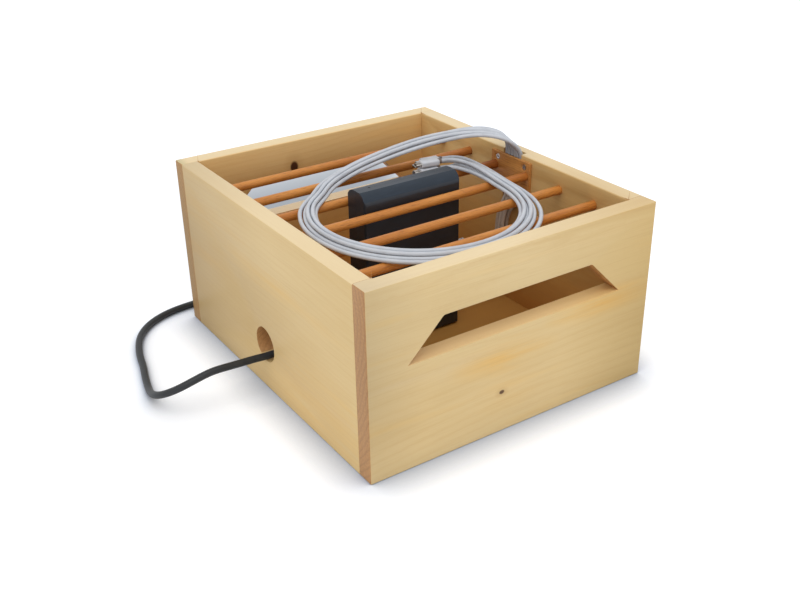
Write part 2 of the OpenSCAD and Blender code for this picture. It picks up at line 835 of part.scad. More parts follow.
module charger_mains_inlet() {
    mouth = charger_left;
    color(black) translate([mouth, 0, mains_z]) {
        difference() {
            along_x(inlet_depth) square([inlet_w, inlet_h], center = true);
            translate([-over, 0, 0]) along_x(inlet_hole_depth + over)
                rounded(inlet_hole_w, inlet_hole_h, over);
        }
        for (side = [-1, 1]) {
            translate([inlet_hole_depth - blade_len, -blade_t / 2, side * blade_gap / 2 - blade_h / 2])
                cube([blade_len + fine, blade_t, blade_h]);
        }
    }
}

module charger_status_light() {
    color(green) translate([charger_x - light_x, light_y, base_z + charger_h - shell_wall])
        cylinder(d = light_d, h = shell_wall + light_rise);
}

module charger_shell_screws() {
    slot_depth = 1;
    slot_t = 0.8;
    color(steel) at_posts(0) difference() {
        union() {
            translate([0, post_floor, 0]) bar_y(shell_screw_head, shell_screw_head_h);
            translate([0, post_floor - shell_screw_len, 0]) bar_y(shell_screw_d, shell_screw_len);
        }
        translate([-shell_screw_head, post_floor + shell_screw_head_h - slot_depth, -slot_t / 2])
            cube([2 * shell_screw_head, slot_depth + over, slot_t]);
    }
}

module charger_feet() {
    color(black) for (x = [-1, 1], y = [-1, 1]) {
        translate([charger_x + x * foot_x, y * foot_y, base_z - foot_h]) cylinder(d = foot_d, h = foot_h);
    }
}

// A plug's hollow metal tip along +X
module plug_tip(length) {
    difference() {
        along_x(length) rounded(tip_t, tip_w, tip_t / 2 - fine);
        translate([fine, 0, 0]) along_x(length + over)
            rounded(tip_t - 2 * tip_wall, tip_w - 2 * tip_wall, tip_t / 2 - tip_wall - fine);
    }
}

module charger_end_plugs() {
    corner = 2;
    color(white) port_row(end_plug_x) {
        along_x(end_plug_len) rounded(end_plug_t, end_plug_w, corner);
        translate([end_plug_len, 0, 0]) rotate([0, 90, 0])
            cylinder(r1 = lead_d / 2 + end_relief_r, r2 = lead_d / 2, h = end_relief_len);
        translate([fine, 0, 0]) mirror([1, 0, 0]) plug_tip(tip_len + end_plug_gap);
    }
}

function unit(v) = v / norm(v);

function ease(t, from, to) =
    let (s = min(max((t - from) / (to - from), 0), 1)) s * s * (3 - 2 * s);

// The direction of a way at one of its points
function heading(p, i) = unit(p[min(i + 1, len(p) - 1)] - p[max(i - 1, 0)]);

// A side direction that turns as little as it can from point to point
function sideways(v, t) = unit(v - (v * t) * t);

function side_list(p) = [
    for (
        i = 0, v = sideways(abs(heading(p, 0)[2]) > 0.9 ? [1, 0, 0] : [0, 0, 1], heading(p, 0));
        i < len(p);
        i = i + 1, v = i < len(p) ? sideways(v, heading(p, i)) : v
    ) v
];

// A round tube along a way, closed by flat ends
module tube(p, d, sides) {
    v = side_list(p);
    rings = len(p);
    corners = [
        for (i = [0:rings - 1], j = [0:sides - 1])
            p[i] + d / 2 * (cos(j * 360 / sides) * v[i] + sin(j * 360 / sides) * cross(heading(p, i), v[i]))
    ];
    walls = [
        for (i = [0:rings - 2], j = [0:sides - 1], half = [0, 1])
            let (a = i * sides + j, b = i * sides + (j + 1) % sides)
                half == 0 ? [a, b, b + sides] : [a, b + sides, a + sides]
    ];
    first_cap = [for (j = [1:sides - 2]) [0, j + 1, j]];
    last = (rings - 1) * sides;
    last_cap = [for (j = [1:sides - 2]) [last, last + j, last + j + 1]];
    polyhedron(corners, concat(walls, first_cap, last_cap));
}

function bezier(a, b, c, d, t) =
    a * (1 - t) ^ 3 + b * 3 * t * (1 - t) ^ 2 + c * 3 * t ^ 2 * (1 - t) + d * t ^ 3;

// A lead's way from the channel, down behind the plate, to its socket
function riser_way(k) =
    let (
        row = riser_rows[k],
        z = port_z(lead_n - 1 - k),
        side = riser_places[k] - lane(k),
        out = [
            for (i = [0, 1])
                in_crate([riser_out[row][i][0], lane(k) + riser_shift[i] * side, riser_out[row][i][1]])
        ],
        far = [x_in + riser_far[row][0], riser_places[k], z - riser_far[row][1]],
        meet = [riser_end + riser_room, 0, z],
        near = [meet[0] + riser_near[0], 0, z - riser_near[1]]
    )
    concat(
        [for (p = riser_down) in_crate([p[0], lane(k), p[1]])],
        [out[0]],
        [for (i = [0:riser_steps]) bezier(out[1], far, near, meet, i / riser_steps)],
        [[riser_end, 0, z]]
    );

module lead_riser(k) {
    color(white) tube(riser_way(k), lead_d, lead_sides);
}

// A place on the leads' ways, in the crate
function in_crate(p) = p + [x_in, 0, ring_z];

// The whole bundle's middle line: over the arch and round the ring
bundle = concat([for (p = arch) in_crate(p)], [for (a = [ring_from:ring_turn:ring_to]) ring_point(a)]);

function ring_point(a) = [ring_mid[0] + ring_r * cos(a), ring_mid[1] + ring_r * sin(a), ring_z];

function lengths(p) = [
    for (i = 0, s = 0; i < len(p); i = i + 1, s = s + (i < len(p) ? norm(p[i] - p[i - 1]) : 0)) s
];

bundle_lengths = lengths(bundle);

function bundle_heading(i) =
    let (a = ring_from + (i - len(arch)) * ring_turn)
        i < len(arch) ? heading(bundle, i) : [-sin(a), cos(a), 0];

// To the bundle's side: level, and along +Y where the bundle runs steeply
function bundle_side(i) =
    let (
        t = bundle_heading(i),
        flat = norm([t[0], t[1]]),
        share = min(max((flat - side_turn[0]) / (side_turn[1] - side_turn[0]), 0), 1),
        level = share > 0 ? [t[1], -t[0], 0] / flat : [0, 1, 0]
    )
    unit(level * share + [0, 1, 0] * (1 - share));

function lead_point(k, i) =
    let (
        t = min(bundle_lengths[i] / bundle_lengths[len(arch)], 1),
        a = ring_from + max(i - len(arch), 0) * ring_turn,
        spread = 1 + ring_spread * max(0, -sin(a)),
        change = ease(t, lane_change[0], lane_change[1]),
        beside = lane(k) * (1 - change) + ring_lanes[k] * ring_lane * spread * change,
        climb = ease(t, lead_climb[0], lead_climb[1]),
        above = ring_upper[k] * sqrt(ring_nest ^ 2 - (ring_lane * spread) ^ 2) * climb
    )
    bundle[i] + bundle_side(i) * beside + unit(cross(bundle_side(i), bundle_heading(i))) * above;

function loop_way(k) =
    let (end = in_crate(plug_ends[k]))
    concat(
        [for (i = [0:len(bundle) - 1]) lead_point(k, i)],
        [for (p = tails[k]) in_crate(p)],
        [end - plug_stub * [cos(plug_yaw), sin(plug_yaw), 0], end]
    );

module lead_loop(k) {
    color(white) tube(loop_way(k), lead_d, lead_sides);
}

module at_plug(k) {
    translate(in_crate(plug_ends[k])) rotate([0, 0, plug_yaw]) children();
}

module lead_plug(k) {
    color(white) at_plug(k) {
        bar_x(collar_d, collar_len);
        translate([collar_len, 0, 0]) along_x(far_plug_len) rounded(far_plug_w, far_plug_t, far_plug_r);
    }
}

module lead_plug_tips() {
    color(steel) for (k = [0:lead_n - 1]) at_plug(k) {
        translate([collar_len + far_plug_len, 0, 0]) rotate([90, 0, 0]) plug_tip(tip_len);
    }
}

module mains_connector() {
    color(black) translate([connector_x, 0, mains_z]) difference() {
        union() {
            translate([-connector_len, 0, 0]) along_x(connector_len) rounded(inlet_w, inlet_h, connector_r);
            translate([-fine, 0, 0]) along_x(nose_len + fine)
                rounded(inlet_hole_w - 2 * nose_fit, inlet_hole_h - 2 * nose_fit, over);
        }
        for (side = [-1, 1]) {
            translate([nose_len - blade_len - blade_fit, 0, side * blade_gap / 2]) along_x(blade_len + over)
                square([blade_t + 2 * blade_fit, blade_h + 2 * blade_fit], center = true);
        }
    }
}

module mains_connector_relief() {
    root_r = 7;
    color(black) translate([relief_x, 0, mains_z]) rotate([0, -90, 0])
        cylinder(r1 = root_r, r2 = mains_d / 2 + end_relief_r, h = connector_relief);
}

module mains_lead_inside() {
    start = [mains_start, 0, mains_z];
    run = mains_out - start;
    between = [
        for (s = inside_shares)
            let (bend = ease(s, inside_shares[0], inside_shares[len(inside_shares) - 1]))
                start + [s * run[0], bend * run[1], bend * run[2]]
    ];
    color(black) tube(concat([start], between, [mains_out]), mains_d, mains_sides);
}

module mains_lead_outside() {
    way = concat(
        [mains_out],
        [for (p = side_way) p - [box_w / 2, 0, 0]],
        [for (p = back_way) p + [-box_w / 2, box_d / 2, 0]],
        [coil_way[0]]
    );
    color(black) tube(way, mains_d, mains_sides);
}

// The coil starts at its front, heading right, winds in along the table, climbs
// a layer in the half turn round its turning point and winds out on top
function coil_point(turns) =
    let (
        r = coil_r - coil_step * coil_in + coil_step * abs(turns - coil_in),
        a = 270 + 360 * turns,
        rise = min(max((turns - coil_in) / coil_climb + 0.5, 0), 1)
    )
    [coil_mid[0] + r * cos(a), coil_mid[1] + r * sin(a), coil_z + coil_step * rise];

coil_way = concat(
    [coil_point(0) - [mains_d, 0, 0]],
    [for (i = [0:(coil_in + coil_out) * coil_rings]) coil_point(i / coil_rings)],
    [coil_point(coil_in + coil_out) + [mains_d, 0, 0]]
);

module mains_lead_coil() {
    color(black) tube(coil_way, mains_d, coil_sides);
}

module mains_lead_end() {
    way = concat([coil_way[len(coil_way) - 1]], [for (p = end_way) p + coil_mid], [plug_start]);
    color(black) tube(way, mains_d, mains_sides);
}

module mains_lead_tie() {
    inner = coil_r - coil_step * coil_in - mains_d / 2 - tie_fit;
    outer = coil_r + mains_d / 2 + tie_fit;
    low = coil_z - mains_d / 2 - tie_fit;
    high = coil_z + coil_step + mains_d / 2 + tie_fit;
    corner = 2;
    color(black) translate([coil_mid[0] - tie_w / 2, coil_mid[1] + (inner + outer) / 2, (low + high) / 2])
        along_x(tie_w) difference() {
            rounded(outer - inner + 2 * tie_t, high - low + 2 * tie_t, corner + tie_t);
            rounded(outer - inner, high - low, corner);
        }
}

module mains_plug_relief() {
    color(black) translate(plug_start) rotate([0, 90, 0])
        cylinder(r1 = mains_d / 2 + end_relief_r, r2 = plug_relief_r, h = plug_relief);
}

module mains_plug() {
    r = plug_d / 2;
    length = plug_taper_len + plug_face_len;
    color(black) translate(plug_start + [plug_relief, 0, 0]) rotate([0, 90, 0]) rotate_extrude()
        polygon([
            [0, 0], [plug_neck_r, 0], [r - plug_edge, plug_taper_len - plug_edge], [r, plug_taper_len],
            [r, length - plug_edge], [r - plug_edge, length], [0, length],
        ]);
}

module mains_plug_pins() {
    length = plug_pin_len - pin_tip;
    color(steel) for (side = [-1, 1]) {
        translate(plug_start + [plug_relief + plug_taper_len + plug_face_len, side * plug_pin_gap / 2, 0]) {
            bar_x(plug_pin_d, length);
            translate([length, 0, 0]) rotate([0, 90, 0])
                cylinder(r1 = plug_pin_d / 2, r2 = plug_pin_d / 2 - pin_tip, h = pin_tip);
        }
    }
}

// Least gap of a lead of one diameter to itself, between points that lie at
// least so many steps apart
function least_gap(p, d, apart) =
    min([for (i = [0:len(p) - 1 - apart], j = [i + apart:len(p) - 1]) norm(p[i] - p[j]) - d]);

echo(least_gap_of_mains_coil = least_gap(coil_way, mains_d, coil_rings / 2));
for (k = [0:lead_n - 1]) {
    echo(least_gap_of_lead_loop = least_gap(loop_way(k), lead_d, coil_rings / 2));
}

front_panel();
back_panel();
left_panel();
right_panel();
bottom_board();
for (i = [1:rod_n]) {
    divider_rod(i);
}
corner_pins();
lead_cover_plate();
cover_plate_screws();
charger_front_shell();
charger_rear_shell();
charger_circuit_board();
charger_transformer();
charger_capacitors();
charger_heat_sink();
charger_output_sockets();
charger_mains_inlet();
charger_status_light();
charger_shell_screws();
charger_feet();
charger_end_plugs();
for (i = [1:lead_n]) {
    lead_riser(i - 1);
    lead_loop(i - 1);
    lead_plug(i - 1);
}
lead_plug_tips();
mains_connector();
mains_connector_relief();
mains_lead_inside();
mains_lead_outside();
mains_lead_coil();
mains_lead_end();
mains_lead_tie();
mains_plug_relief();
mains_plug();
mains_plug_pins();
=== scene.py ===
import math

import bmesh
import bpy
import numpy as np
from mathutils import Matrix, Vector


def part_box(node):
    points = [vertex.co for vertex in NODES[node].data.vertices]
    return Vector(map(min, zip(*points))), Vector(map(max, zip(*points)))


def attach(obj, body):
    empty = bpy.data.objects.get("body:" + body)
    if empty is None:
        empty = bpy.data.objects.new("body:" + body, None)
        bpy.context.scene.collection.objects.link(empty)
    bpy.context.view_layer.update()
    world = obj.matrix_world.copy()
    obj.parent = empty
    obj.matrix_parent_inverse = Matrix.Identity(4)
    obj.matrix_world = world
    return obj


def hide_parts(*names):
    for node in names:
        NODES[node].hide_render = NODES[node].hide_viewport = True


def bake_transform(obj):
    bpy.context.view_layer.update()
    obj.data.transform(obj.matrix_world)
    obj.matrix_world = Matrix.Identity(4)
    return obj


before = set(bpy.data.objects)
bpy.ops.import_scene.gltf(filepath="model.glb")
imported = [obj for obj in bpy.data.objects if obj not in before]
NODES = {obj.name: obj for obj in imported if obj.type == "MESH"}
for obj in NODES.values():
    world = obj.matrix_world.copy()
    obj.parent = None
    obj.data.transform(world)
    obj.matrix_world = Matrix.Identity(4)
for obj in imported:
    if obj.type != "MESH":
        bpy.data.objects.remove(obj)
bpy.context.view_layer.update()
MM = 0.001


def new_object(name, data):
    """An object in the scene."""
    obj = bpy.data.objects.new(name, data)
    bpy.context.collection.objects.link(obj)
    return obj


# Camera, fitted to the straight edges of the crate in the photograph, in degrees and millimetres

AZIMUTH, ELEVATION, ROLL = -33.25, 27.52, -1.03
CAMERA_AT = (-567.1, -858.4, 592.9)
FOCAL_PIXELS, FRAME_WIDTH, SENSOR_WIDTH = 1011.23, 800, 36


def make_camera():
    az, el, roll = (math.radians(a) for a in (AZIMUTH, ELEVATION, ROLL))
    forward = Vector((-math.sin(az) * math.cos(el), math.cos(az) * math.cos(el), -math.sin(el)))
    right = forward.cross(Vector((0, 0, 1))).normalized()
    up = right.cross(forward)
    tilted_right = right * math.cos(roll) + up * math.sin(roll)
    tilted_up = up * math.cos(roll) - right * math.sin(roll)
    data = bpy.data.cameras.new("camera")
    data.sensor_width = SENSOR_WIDTH
    data.lens = FOCAL_PIXELS / FRAME_WIDTH * SENSOR_WIDTH
    data.clip_end = 100
    cam = new_object("camera", data)
    place = Matrix((tilted_right, tilted_up, -forward)).transposed().to_4x4()
    place.translation = Vector(CAMERA_AT) * MM
    cam.matrix_world = place
    bpy.context.scene.camera = cam


make_camera()


# Splines and meshes

def knots(points, first=None, last=None):
    """Bezier points of a smooth spline through the given points: (point, handle before, handle after)."""
    p = np.array(points, float)
    n = len(p)
    h = np.linalg.norm(np.diff(p, axis=0), axis=1)
    a = np.zeros((n, n))
    b = np.zeros((n, 3))
    for i in range(1, n - 1):
        a[i, i - 1], a[i, i], a[i, i + 1] = h[i], 2 * (h[i - 1] + h[i]), h[i - 1]
        b[i] = 3 * (h[i] * (p[i] - p[i - 1]) / h[i - 1] + h[i - 1] * (p[i + 1] - p[i]) / h[i])
    for i, j, way in ((0, 1, first), (n - 1, n - 2, last)):
        if way is None:
            a[i, i], a[i, j] = 2, 1
            b[i] = 3 * (p[1] - p[0]) / h[0] if i == 0 else 3 * (p[-1] - p[-2]) / h[-1]
        else:
            a[i, i] = 1
            b[i] = np.array(way, float) / np.linalg.norm(way)
    m = np.linalg.solve(a, b)
    before = [p[i] - m[i] * h[max(i - 1, 0)] / 3 for i in range(n)]
    after = [p[i] + m[i] * h[min(i, n - 2)] / 3 for i in range(n)]
    return [(p[i], before[i], after[i]) for i in range(n)]


def cubic(a, b, c, d, t):
    """A point of the Bezier curve from a to d with the handles b and c."""
    return a * (1 - t) ** 3 + 3 * b * t * (1 - t) ** 2 + 3 * c * t * t * (1 - t) + d * t ** 3


def dense(points, steps, first=None, last=None):
    """Points along that spline, a number of steps to each of its stretches."""
    k = knots(points, first, last)
    out = [k[0][0]]
    for (a, _, b), (d, c, _) in zip(k, k[1:]):
        out += [cubic(a, b, c, d, (i + 1) / steps) for i in range(steps)]
    return out


def add(name, data, material, body=None):
    """Puts a piece in the scene with its material and the body that it rides on."""
    data.name = name
    obj = new_object(name, data)
    data.materials.clear()
    data.materials.append(material)
    if body:
        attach(obj, body)
    return obj


def spline_curve(name, points, radius, material, first=None, last=None, sides=3, steps=8):
    """A round cord along a spline, as a curve."""
    data = bpy.data.curves.new(name, "CURVE")
    data.dimensions = "3D"
    data.bevel_depth = radius
    data.bevel_resolution = sides
    data.resolution_u = steps
    data.use_fill_caps = True
    data.twist_mode = "MINIMUM"
    s = data.splines.new("BEZIER")
    k = knots(points, first, last)
    s.bezier_points.add(len(k) - 1)
    for bp, (p, before, after) in zip(s.bezier_points, k):
        bp.handle_left_type = bp.handle_right_type = "FREE"
        bp.co, bp.handle_left, bp.handle_right = p, before, after
    return add(name, data, material)


SMOOTH_ANGLE, LEAST_TURN, SAME_POINT = 32, 0.6, 2e-6


def smooth(mesh, angle=SMOOTH_ANGLE):
    """Smooth shading with sharp edges where two faces meet at more than an angle."""
    bm = bmesh.new()
    bm.from_mesh(mesh)
    bmesh.ops.recalc_face_normals(bm, faces=bm.faces)
    for f in bm.faces:
        f.smooth = True
    for e in bm.edges:
        e.smooth = not (e.is_manifold and e.calc_face_angle(0) > math.radians(angle))
    bm.to_mesh(mesh)
    bm.free()
    return mesh


def mesh_of(verts, faces, angle):
    me = bpy.data.meshes.new("mesh")
    me.from_pydata(verts, [], faces)
    me.validate()
    return smooth(me, angle)


def loft(loops, caps=True, closed=False, angle=SMOOTH_ANGLE):
    """A mesh in metres through loops in millimetres, all with the same number of points."""
    n = len(loops[0])
    verts = [[c * MM for c in p] for loop in loops for p in loop]
    faces = []
    for i in range(len(loops) - (0 if closed else 1)):
        a, b = i * n, (i + 1) % len(loops) * n
        faces += [(a + j, a + (j + 1) % n, b + (j + 1) % n, b + j) for j in range(n)]
    if caps and not closed:
        faces += [tuple(range(n))[::-1], tuple(range(len(verts) - n, len(verts)))]
    return mesh_of(verts, faces, angle)


def rings_along(points, radius, sides):
    """Circles along a way, turning as little as they can."""
    p = [Vector(q) for q in points]
    n = len(p)
    t = [(p[min(i + 1, n - 1)] - p[max(i - 1, 0)]).normalized() for i in range(n)]
    v = Vector((0, 1, 0)) if abs(t[0].y) < 0.9 else Vector((1, 0, 0))
    loops = []
    for i in range(n):
        v = (v - t[i] * v.dot(t[i])).normalized()
        w = t[i].cross(v)
        r = radius[i] if isinstance(radius, (list, tuple)) else radius
        loops.append([p[i] + r * (math.cos(a) * v + math.sin(a) * w)
                      for a in [2 * math.pi * j / sides for j in range(sides)]])
    return loops


def oblong(x, w, h, r, n=6):
    """A rounded rectangle in the plane across X: w along Y, h along Z."""
    out = []
    for cy, cz, a0 in ((1, 1, 0), (-1, 1, 90), (-1, -1, 180), (1, -1, 270)):
        for i in range(n + 1):
            a = math.radians(a0 + 90 * i / n)
            out.append((x, cy * (w / 2 - r) + r * math.cos(a), cz * (h / 2 - r) + r * math.sin(a)))
    return out


def revolve(profile, sides=48, wave=None, angle=SMOOTH_ANGLE):
    """A turned form along +X from (x, radius) pairs. wave(x, a) adds to the radius."""
    turns = [2 * math.pi * j / sides for j in range(sides)]
    loops = []
    for x, radius in profile:
        round_it = [(a, radius + (wave(x, a) if wave else 0)) for a in turns]
        loops.append([(x, r * math.cos(a), r * math.sin(a)) for a, r in round_it])
    return loft(loops, angle=angle)


def placed(mesh, at, x_axis=(1, 0, 0), z_axis=(0, 0, 1)):
    """Moves a mesh drawn along +X so that it starts at a point and runs along an axis."""
    x = Vector(x_axis).normalized()
    z = Vector(z_axis)
    z = (z - x * z.dot(x)).normalized()
    place = Matrix((x, z.cross(x), z)).transposed().to_4x4()
    place.translation = Vector(at)
    mesh.transform(place)
    return mesh


def finish_of(node, width, shade, segments=2, angle=28):
    """A CAD node's mesh with its edges eased by a width and its rounds shaded smooth up to an angle."""
    me = NODES[node].data.copy()
    bm = bmesh.new()
    bm.from_mesh(me)
    bmesh.ops.remove_doubles(bm, verts=bm.verts, dist=SAME_POINT)
    bmesh.ops.dissolve_limit(bm, angle_limit=math.radians(LEAST_TURN), verts=bm.verts, edges=bm.edges)
    if width:
        sharp = [e for e in bm.edges if e.is_manifold and e.calc_face_angle(0) > math.radians(angle)]
        bmesh.ops.bevel(bm, geom=sharp, offset=width * MM, offset_type="OFFSET", segments=segments,
                        profile=0.5, affect="EDGES", clamp_overlap=False, material=-1)
    bmesh.ops.triangulate(bm, faces=[f for f in bm.faces if len(f.verts) > 4])
    bm.to_mesh(me)
    bm.free()
    return smooth(me, shade)


# Materials

def rgb(r, g, b):
    """An sRGB colour from 0 to 255 as Blender's linear one."""
    def lin(c):
        c /= 255
        return c / 12.92 if c <= 0.04045 else ((c + 0.055) / 1.055) ** 2.4
    return (lin(r), lin(g), lin(b), 1)


def connect(tree, value, socket):
    """Links a node's output to a socket, or sets the socket to a plain value."""
    if hasattr(value, "is_output"):
        tree.links.new(value, socket)
    else:
        socket.default_value = value


class Look:
    """A small helper that builds a material's node tree."""

    def __init__(self, name, base, roughness=0.5, metallic=0.0, **sockets):
        self.material = bpy.data.materials.new(name)
        self.material.use_nodes = True
        self.tree = self.material.node_tree
        self.bsdf = self.tree.nodes["Principled BSDF"]
        self.bsdf.inputs["Base Color"].default_value = base
        self.bsdf.inputs["Roughness"].default_value = roughness
        self.bsdf.inputs["Metallic"].default_value = metallic
        for k, v in sockets.items():
            self.bsdf.inputs[k.replace("_", " ")].default_value = v
        self.coord = self.tree.nodes.new("ShaderNodeTexCoord")
        self.place = self.coord.outputs["Object"]

    def node(self, kind, inputs=None, **props):
        n = self.tree.nodes.new("ShaderNode" + kind)
        for k, v in props.items():
            setattr(n, k, v)
        for k, v in (inputs or {}).items():
            connect(self.tree, v, n.inputs[k])
        return n

    def mapped(self, scale=(1, 1, 1), rotation=(0, 0, 0), location=(0, 0, 0), source=None):
        return self.node("Mapping", {"Vector": source or self.place, "Scale": scale, "Rotation": rotation,
                                     "Location": location}).outputs[0]

    def noise(self, vector, scale=1.0, detail=2.0, roughness=0.5, distortion=0.0, out="Fac"):
        return self.node("TexNoise", {"Vector": vector, "Scale": scale, "Detail": detail,
                                      "Roughness": roughness, "Distortion": distortion}).outputs[out]

    def ramp(self, fac, stops):
        n = self.node("ValToRGB", {"Fac": fac})
        e = n.color_ramp.elements
        while len(e) < len(stops):
            e.new(0.5)
        for el, (pos, col) in zip(e, stops):
            el.position = pos
            el.color = col if isinstance(col, tuple) else (col, col, col, 1)
        return n.outputs["Color"]

    def mix(self, fac, a, b, blend="MIX"):
        n = self.tree.nodes.new("ShaderNodeMix")
        n.data_type = "RGBA"
        n.blend_type = blend
        for i, v in ((0, fac), (6, a), (7, b)):
            connect(self.tree, v, n.inputs[i])
        return n.outputs[2]

    def math(self, op, a, b=0.0, clamp=False):
        n = self.tree.nodes.new("ShaderNodeMath")
        n.operation = op
        n.use_clamp = clamp
        for i, v in ((0, a), (1, b)):
            connect(self.tree, v, n.inputs[i])
        return n.outputs[0]

    def times(self, a, b):
        return self.math("MULTIPLY", a, b)

    def vector(self, op, a, b):
        return self.node("VectorMath", {0: a, 1: b}, operation=op).outputs[0]

    def near(self, at, size):
        """1 at a place, and evenly down to 0 at a size along each axis."""
        v = self.vector("SUBTRACT", self.place, at)
        v = self.vector("MULTIPLY", v, tuple(1 / s for s in size))
        distance = self.node("VectorMath", {0: v}, operation="LENGTH").outputs["Value"]
        return self.math("SUBTRACT", 1.0, distance, clamp=True)

    def color(self, socket):
        self.tree.links.new(socket, self.bsdf.inputs["Base Color"])

    def rough(self, fac, low, high):
        n = self.node("MapRange", {"Value": fac, "To Min": low, "To Max": high})
        self.tree.links.new(n.outputs[0], self.bsdf.inputs["Roughness"])

    def bump(self, height, distance, strength):
        out = self.node("Bump", {"Height": height, "Distance": distance, "Strength": strength}).outputs[0]
        self.tree.links.new(out, self.bsdf.inputs["Normal"])

    def split(self, output):
        """The X, Y and Z of a texture coordinate."""
        return self.node("SeparateXYZ", {0: self.coord.outputs[output]}).outputs


PINE_LIGHT, PINE_DEEP = rgb(229, 202, 149), rgb(220, 190, 134)
PINE_WARM, PINE_COOL = rgb(233, 190, 112), rgb(222, 198, 158)
PINE_RINGS, PINE_FLECKS, PINE_RIM_PAINTED_LIGHT = rgb(205, 160, 96), rgb(198, 156, 98), rgb(241, 223, 188)
END_LIGHT, END_DARK, END_RINGS = rgb(207, 156, 100), rgb(189, 138, 87), rgb(146, 104, 68)
KNOT_HALO, KNOT = rgb(186, 138, 84), rgb(74, 42, 22)
RESIN, FRONT_TOP_PAINTED_LIGHT = rgb(234, 186, 104), rgb(243, 220, 172)
PAINTED_SHADE_TOWARDS_FLOOR = (0.77, 0.58, 0.36, 1)
RIM_FROM, FLOOR_LIGHT_FROM, FLOOR_LIGHT_FULL = 0.19, 0.2, 0.05


def pine_rings(k, along, pith, seed):
    """The dark part of each yearly ring, round a pith that wanders a little."""
    slow = k.noise(k.mapped((1.7, 6, 6), location=(seed, seed * 2, 0), source=along), 1.0, 2.0, out="Color")
    shift = k.vector("SUBTRACT", slow, (0.5, 0.5, 0.5))
    shift = k.node("VectorMath", {0: shift, "Scale": 0.05}, operation="SCALE").outputs[0]
    bent = k.vector("ADD", k.vector("SUBTRACT", along, pith), shift)
    rings = k.node("TexWave", {"Vector": bent, "Scale": 58.0, "Distortion": 1.2, "Detail": 2.0,
                               "Detail Scale": 2.0}, wave_type="RINGS", rings_direction="X",
                   wave_profile="SAW").outputs["Fac"]
    return k.ramp(rings, [(0.0, 0.35), (0.12, 0.0), (0.55, 0.08), (0.9, 1.0), (1.0, 0.35)])


def pine_face(k, along, seed, tones):
    """The colour of a board's faces: clouds, warm and cool streaks, and tones by place, broken into wisps."""
    cloud = k.noise(k.mapped((3.5, 11, 11), location=(0, seed, seed), source=along), 1.0, 3.0, 0.55)
    streak = k.noise(k.mapped((2.2, 26, 26), location=(seed, seed, 3), source=along), 1.0, 3.0, 0.6)
    base = k.mix(k.ramp(cloud, [(0.3, 0.0), (0.7, 1.0)]), PINE_LIGHT, PINE_DEEP)
    base = k.mix(k.times(k.ramp(streak, [(0.56, 0.0), (0.74, 1.0)]), 0.5), base, PINE_WARM)
    base = k.mix(k.times(k.ramp(streak, [(0.26, 1.0), (0.42, 0.0)]), 0.3), base, PINE_COOL)
    wisps = k.noise(k.mapped((7, 95, 95), location=(seed, 2, seed), source=along), 1.0, 4.0, 0.6, 0.8)
    wisps = k.ramp(wisps, [(0.36, 0.25), (0.6, 1.0)])
    for at, size, strength, colour in tones:
        base = k.mix(k.times(k.times(k.near(at, size), strength), wisps), base, colour)
    return base


def pine_painted_top_light(k, base, painted_sill_light):
    """Faces that look up: the rim is painted lighter, and the floor of a handle slot may be painted lighter
    too.
    """
    up = k.math("GREATER_THAN", k.split("Normal")[2], 0.5)
    rim = k.times(up, k.math("GREATER_THAN", k.split("Object")[2], RIM_FROM))
    base = k.mix(k.times(rim, 0.5), base, PINE_RIM_PAINTED_LIGHT)
    return k.mix(k.times(k.math("SUBTRACT", up, rim), 0.8), base, painted_sill_light) if painted_sill_light else base


def pine_ends(k, base, along, axis, seed, latewood):
    """End grain where the fibres meet the surface."""
    end = k.math("GREATER_THAN", k.math("ABSOLUTE", k.split("Normal")["XY".index(axis)]), 0.6)
    coarse = k.noise(k.mapped((30, 420, 420), location=(seed, 1, 0), source=along), 1.0, 2.0, 0.6)
    grain = k.mix(k.ramp(coarse, [(0.3, 0.0), (0.7, 1.0)]), END_LIGHT, END_DARK)
    return k.mix(end, base, k.mix(k.times(latewood, 0.3), grain, END_RINGS))


def pine_inner_painted_shade(k, base, inward, inner_painted_light_and_shade):
    """Painted light and shade on faces that look inward: a multiplier makes them redder, and painted shade
    darkens them towards the floor.
    """
    facing = k.node("VectorMath", {0: k.coord.outputs["Normal"], 1: inward}, operation="DOT_PRODUCT")
    inner = k.math("GREATER_THAN", facing.outputs["Value"], 0.6)
    low = k.node("MapRange", {"Value": k.split("Object")[2], "From Min": FLOOR_LIGHT_FROM,
                              "From Max": FLOOR_LIGHT_FULL}).outputs[0]
    base = k.mix(inner, base, inner_painted_light_and_shade, "MULTIPLY")
    return k.mix(k.times(inner, low), base, PAINTED_SHADE_TOWARDS_FLOOR, "MULTIPLY")


def pine_knot(k, base, at, size, depth):
    """A dark knot in a brown halo."""
    spot = k.ramp(k.near(at, size), [(0.0, 0.0), (0.35, 1.0)])
    halo = k.near(at, tuple(2.6 * s for s in size))
    base = k.mix(k.times(halo, 0.45), base, KNOT_HALO)
    return k.mix(k.times(spot, depth), base, KNOT)


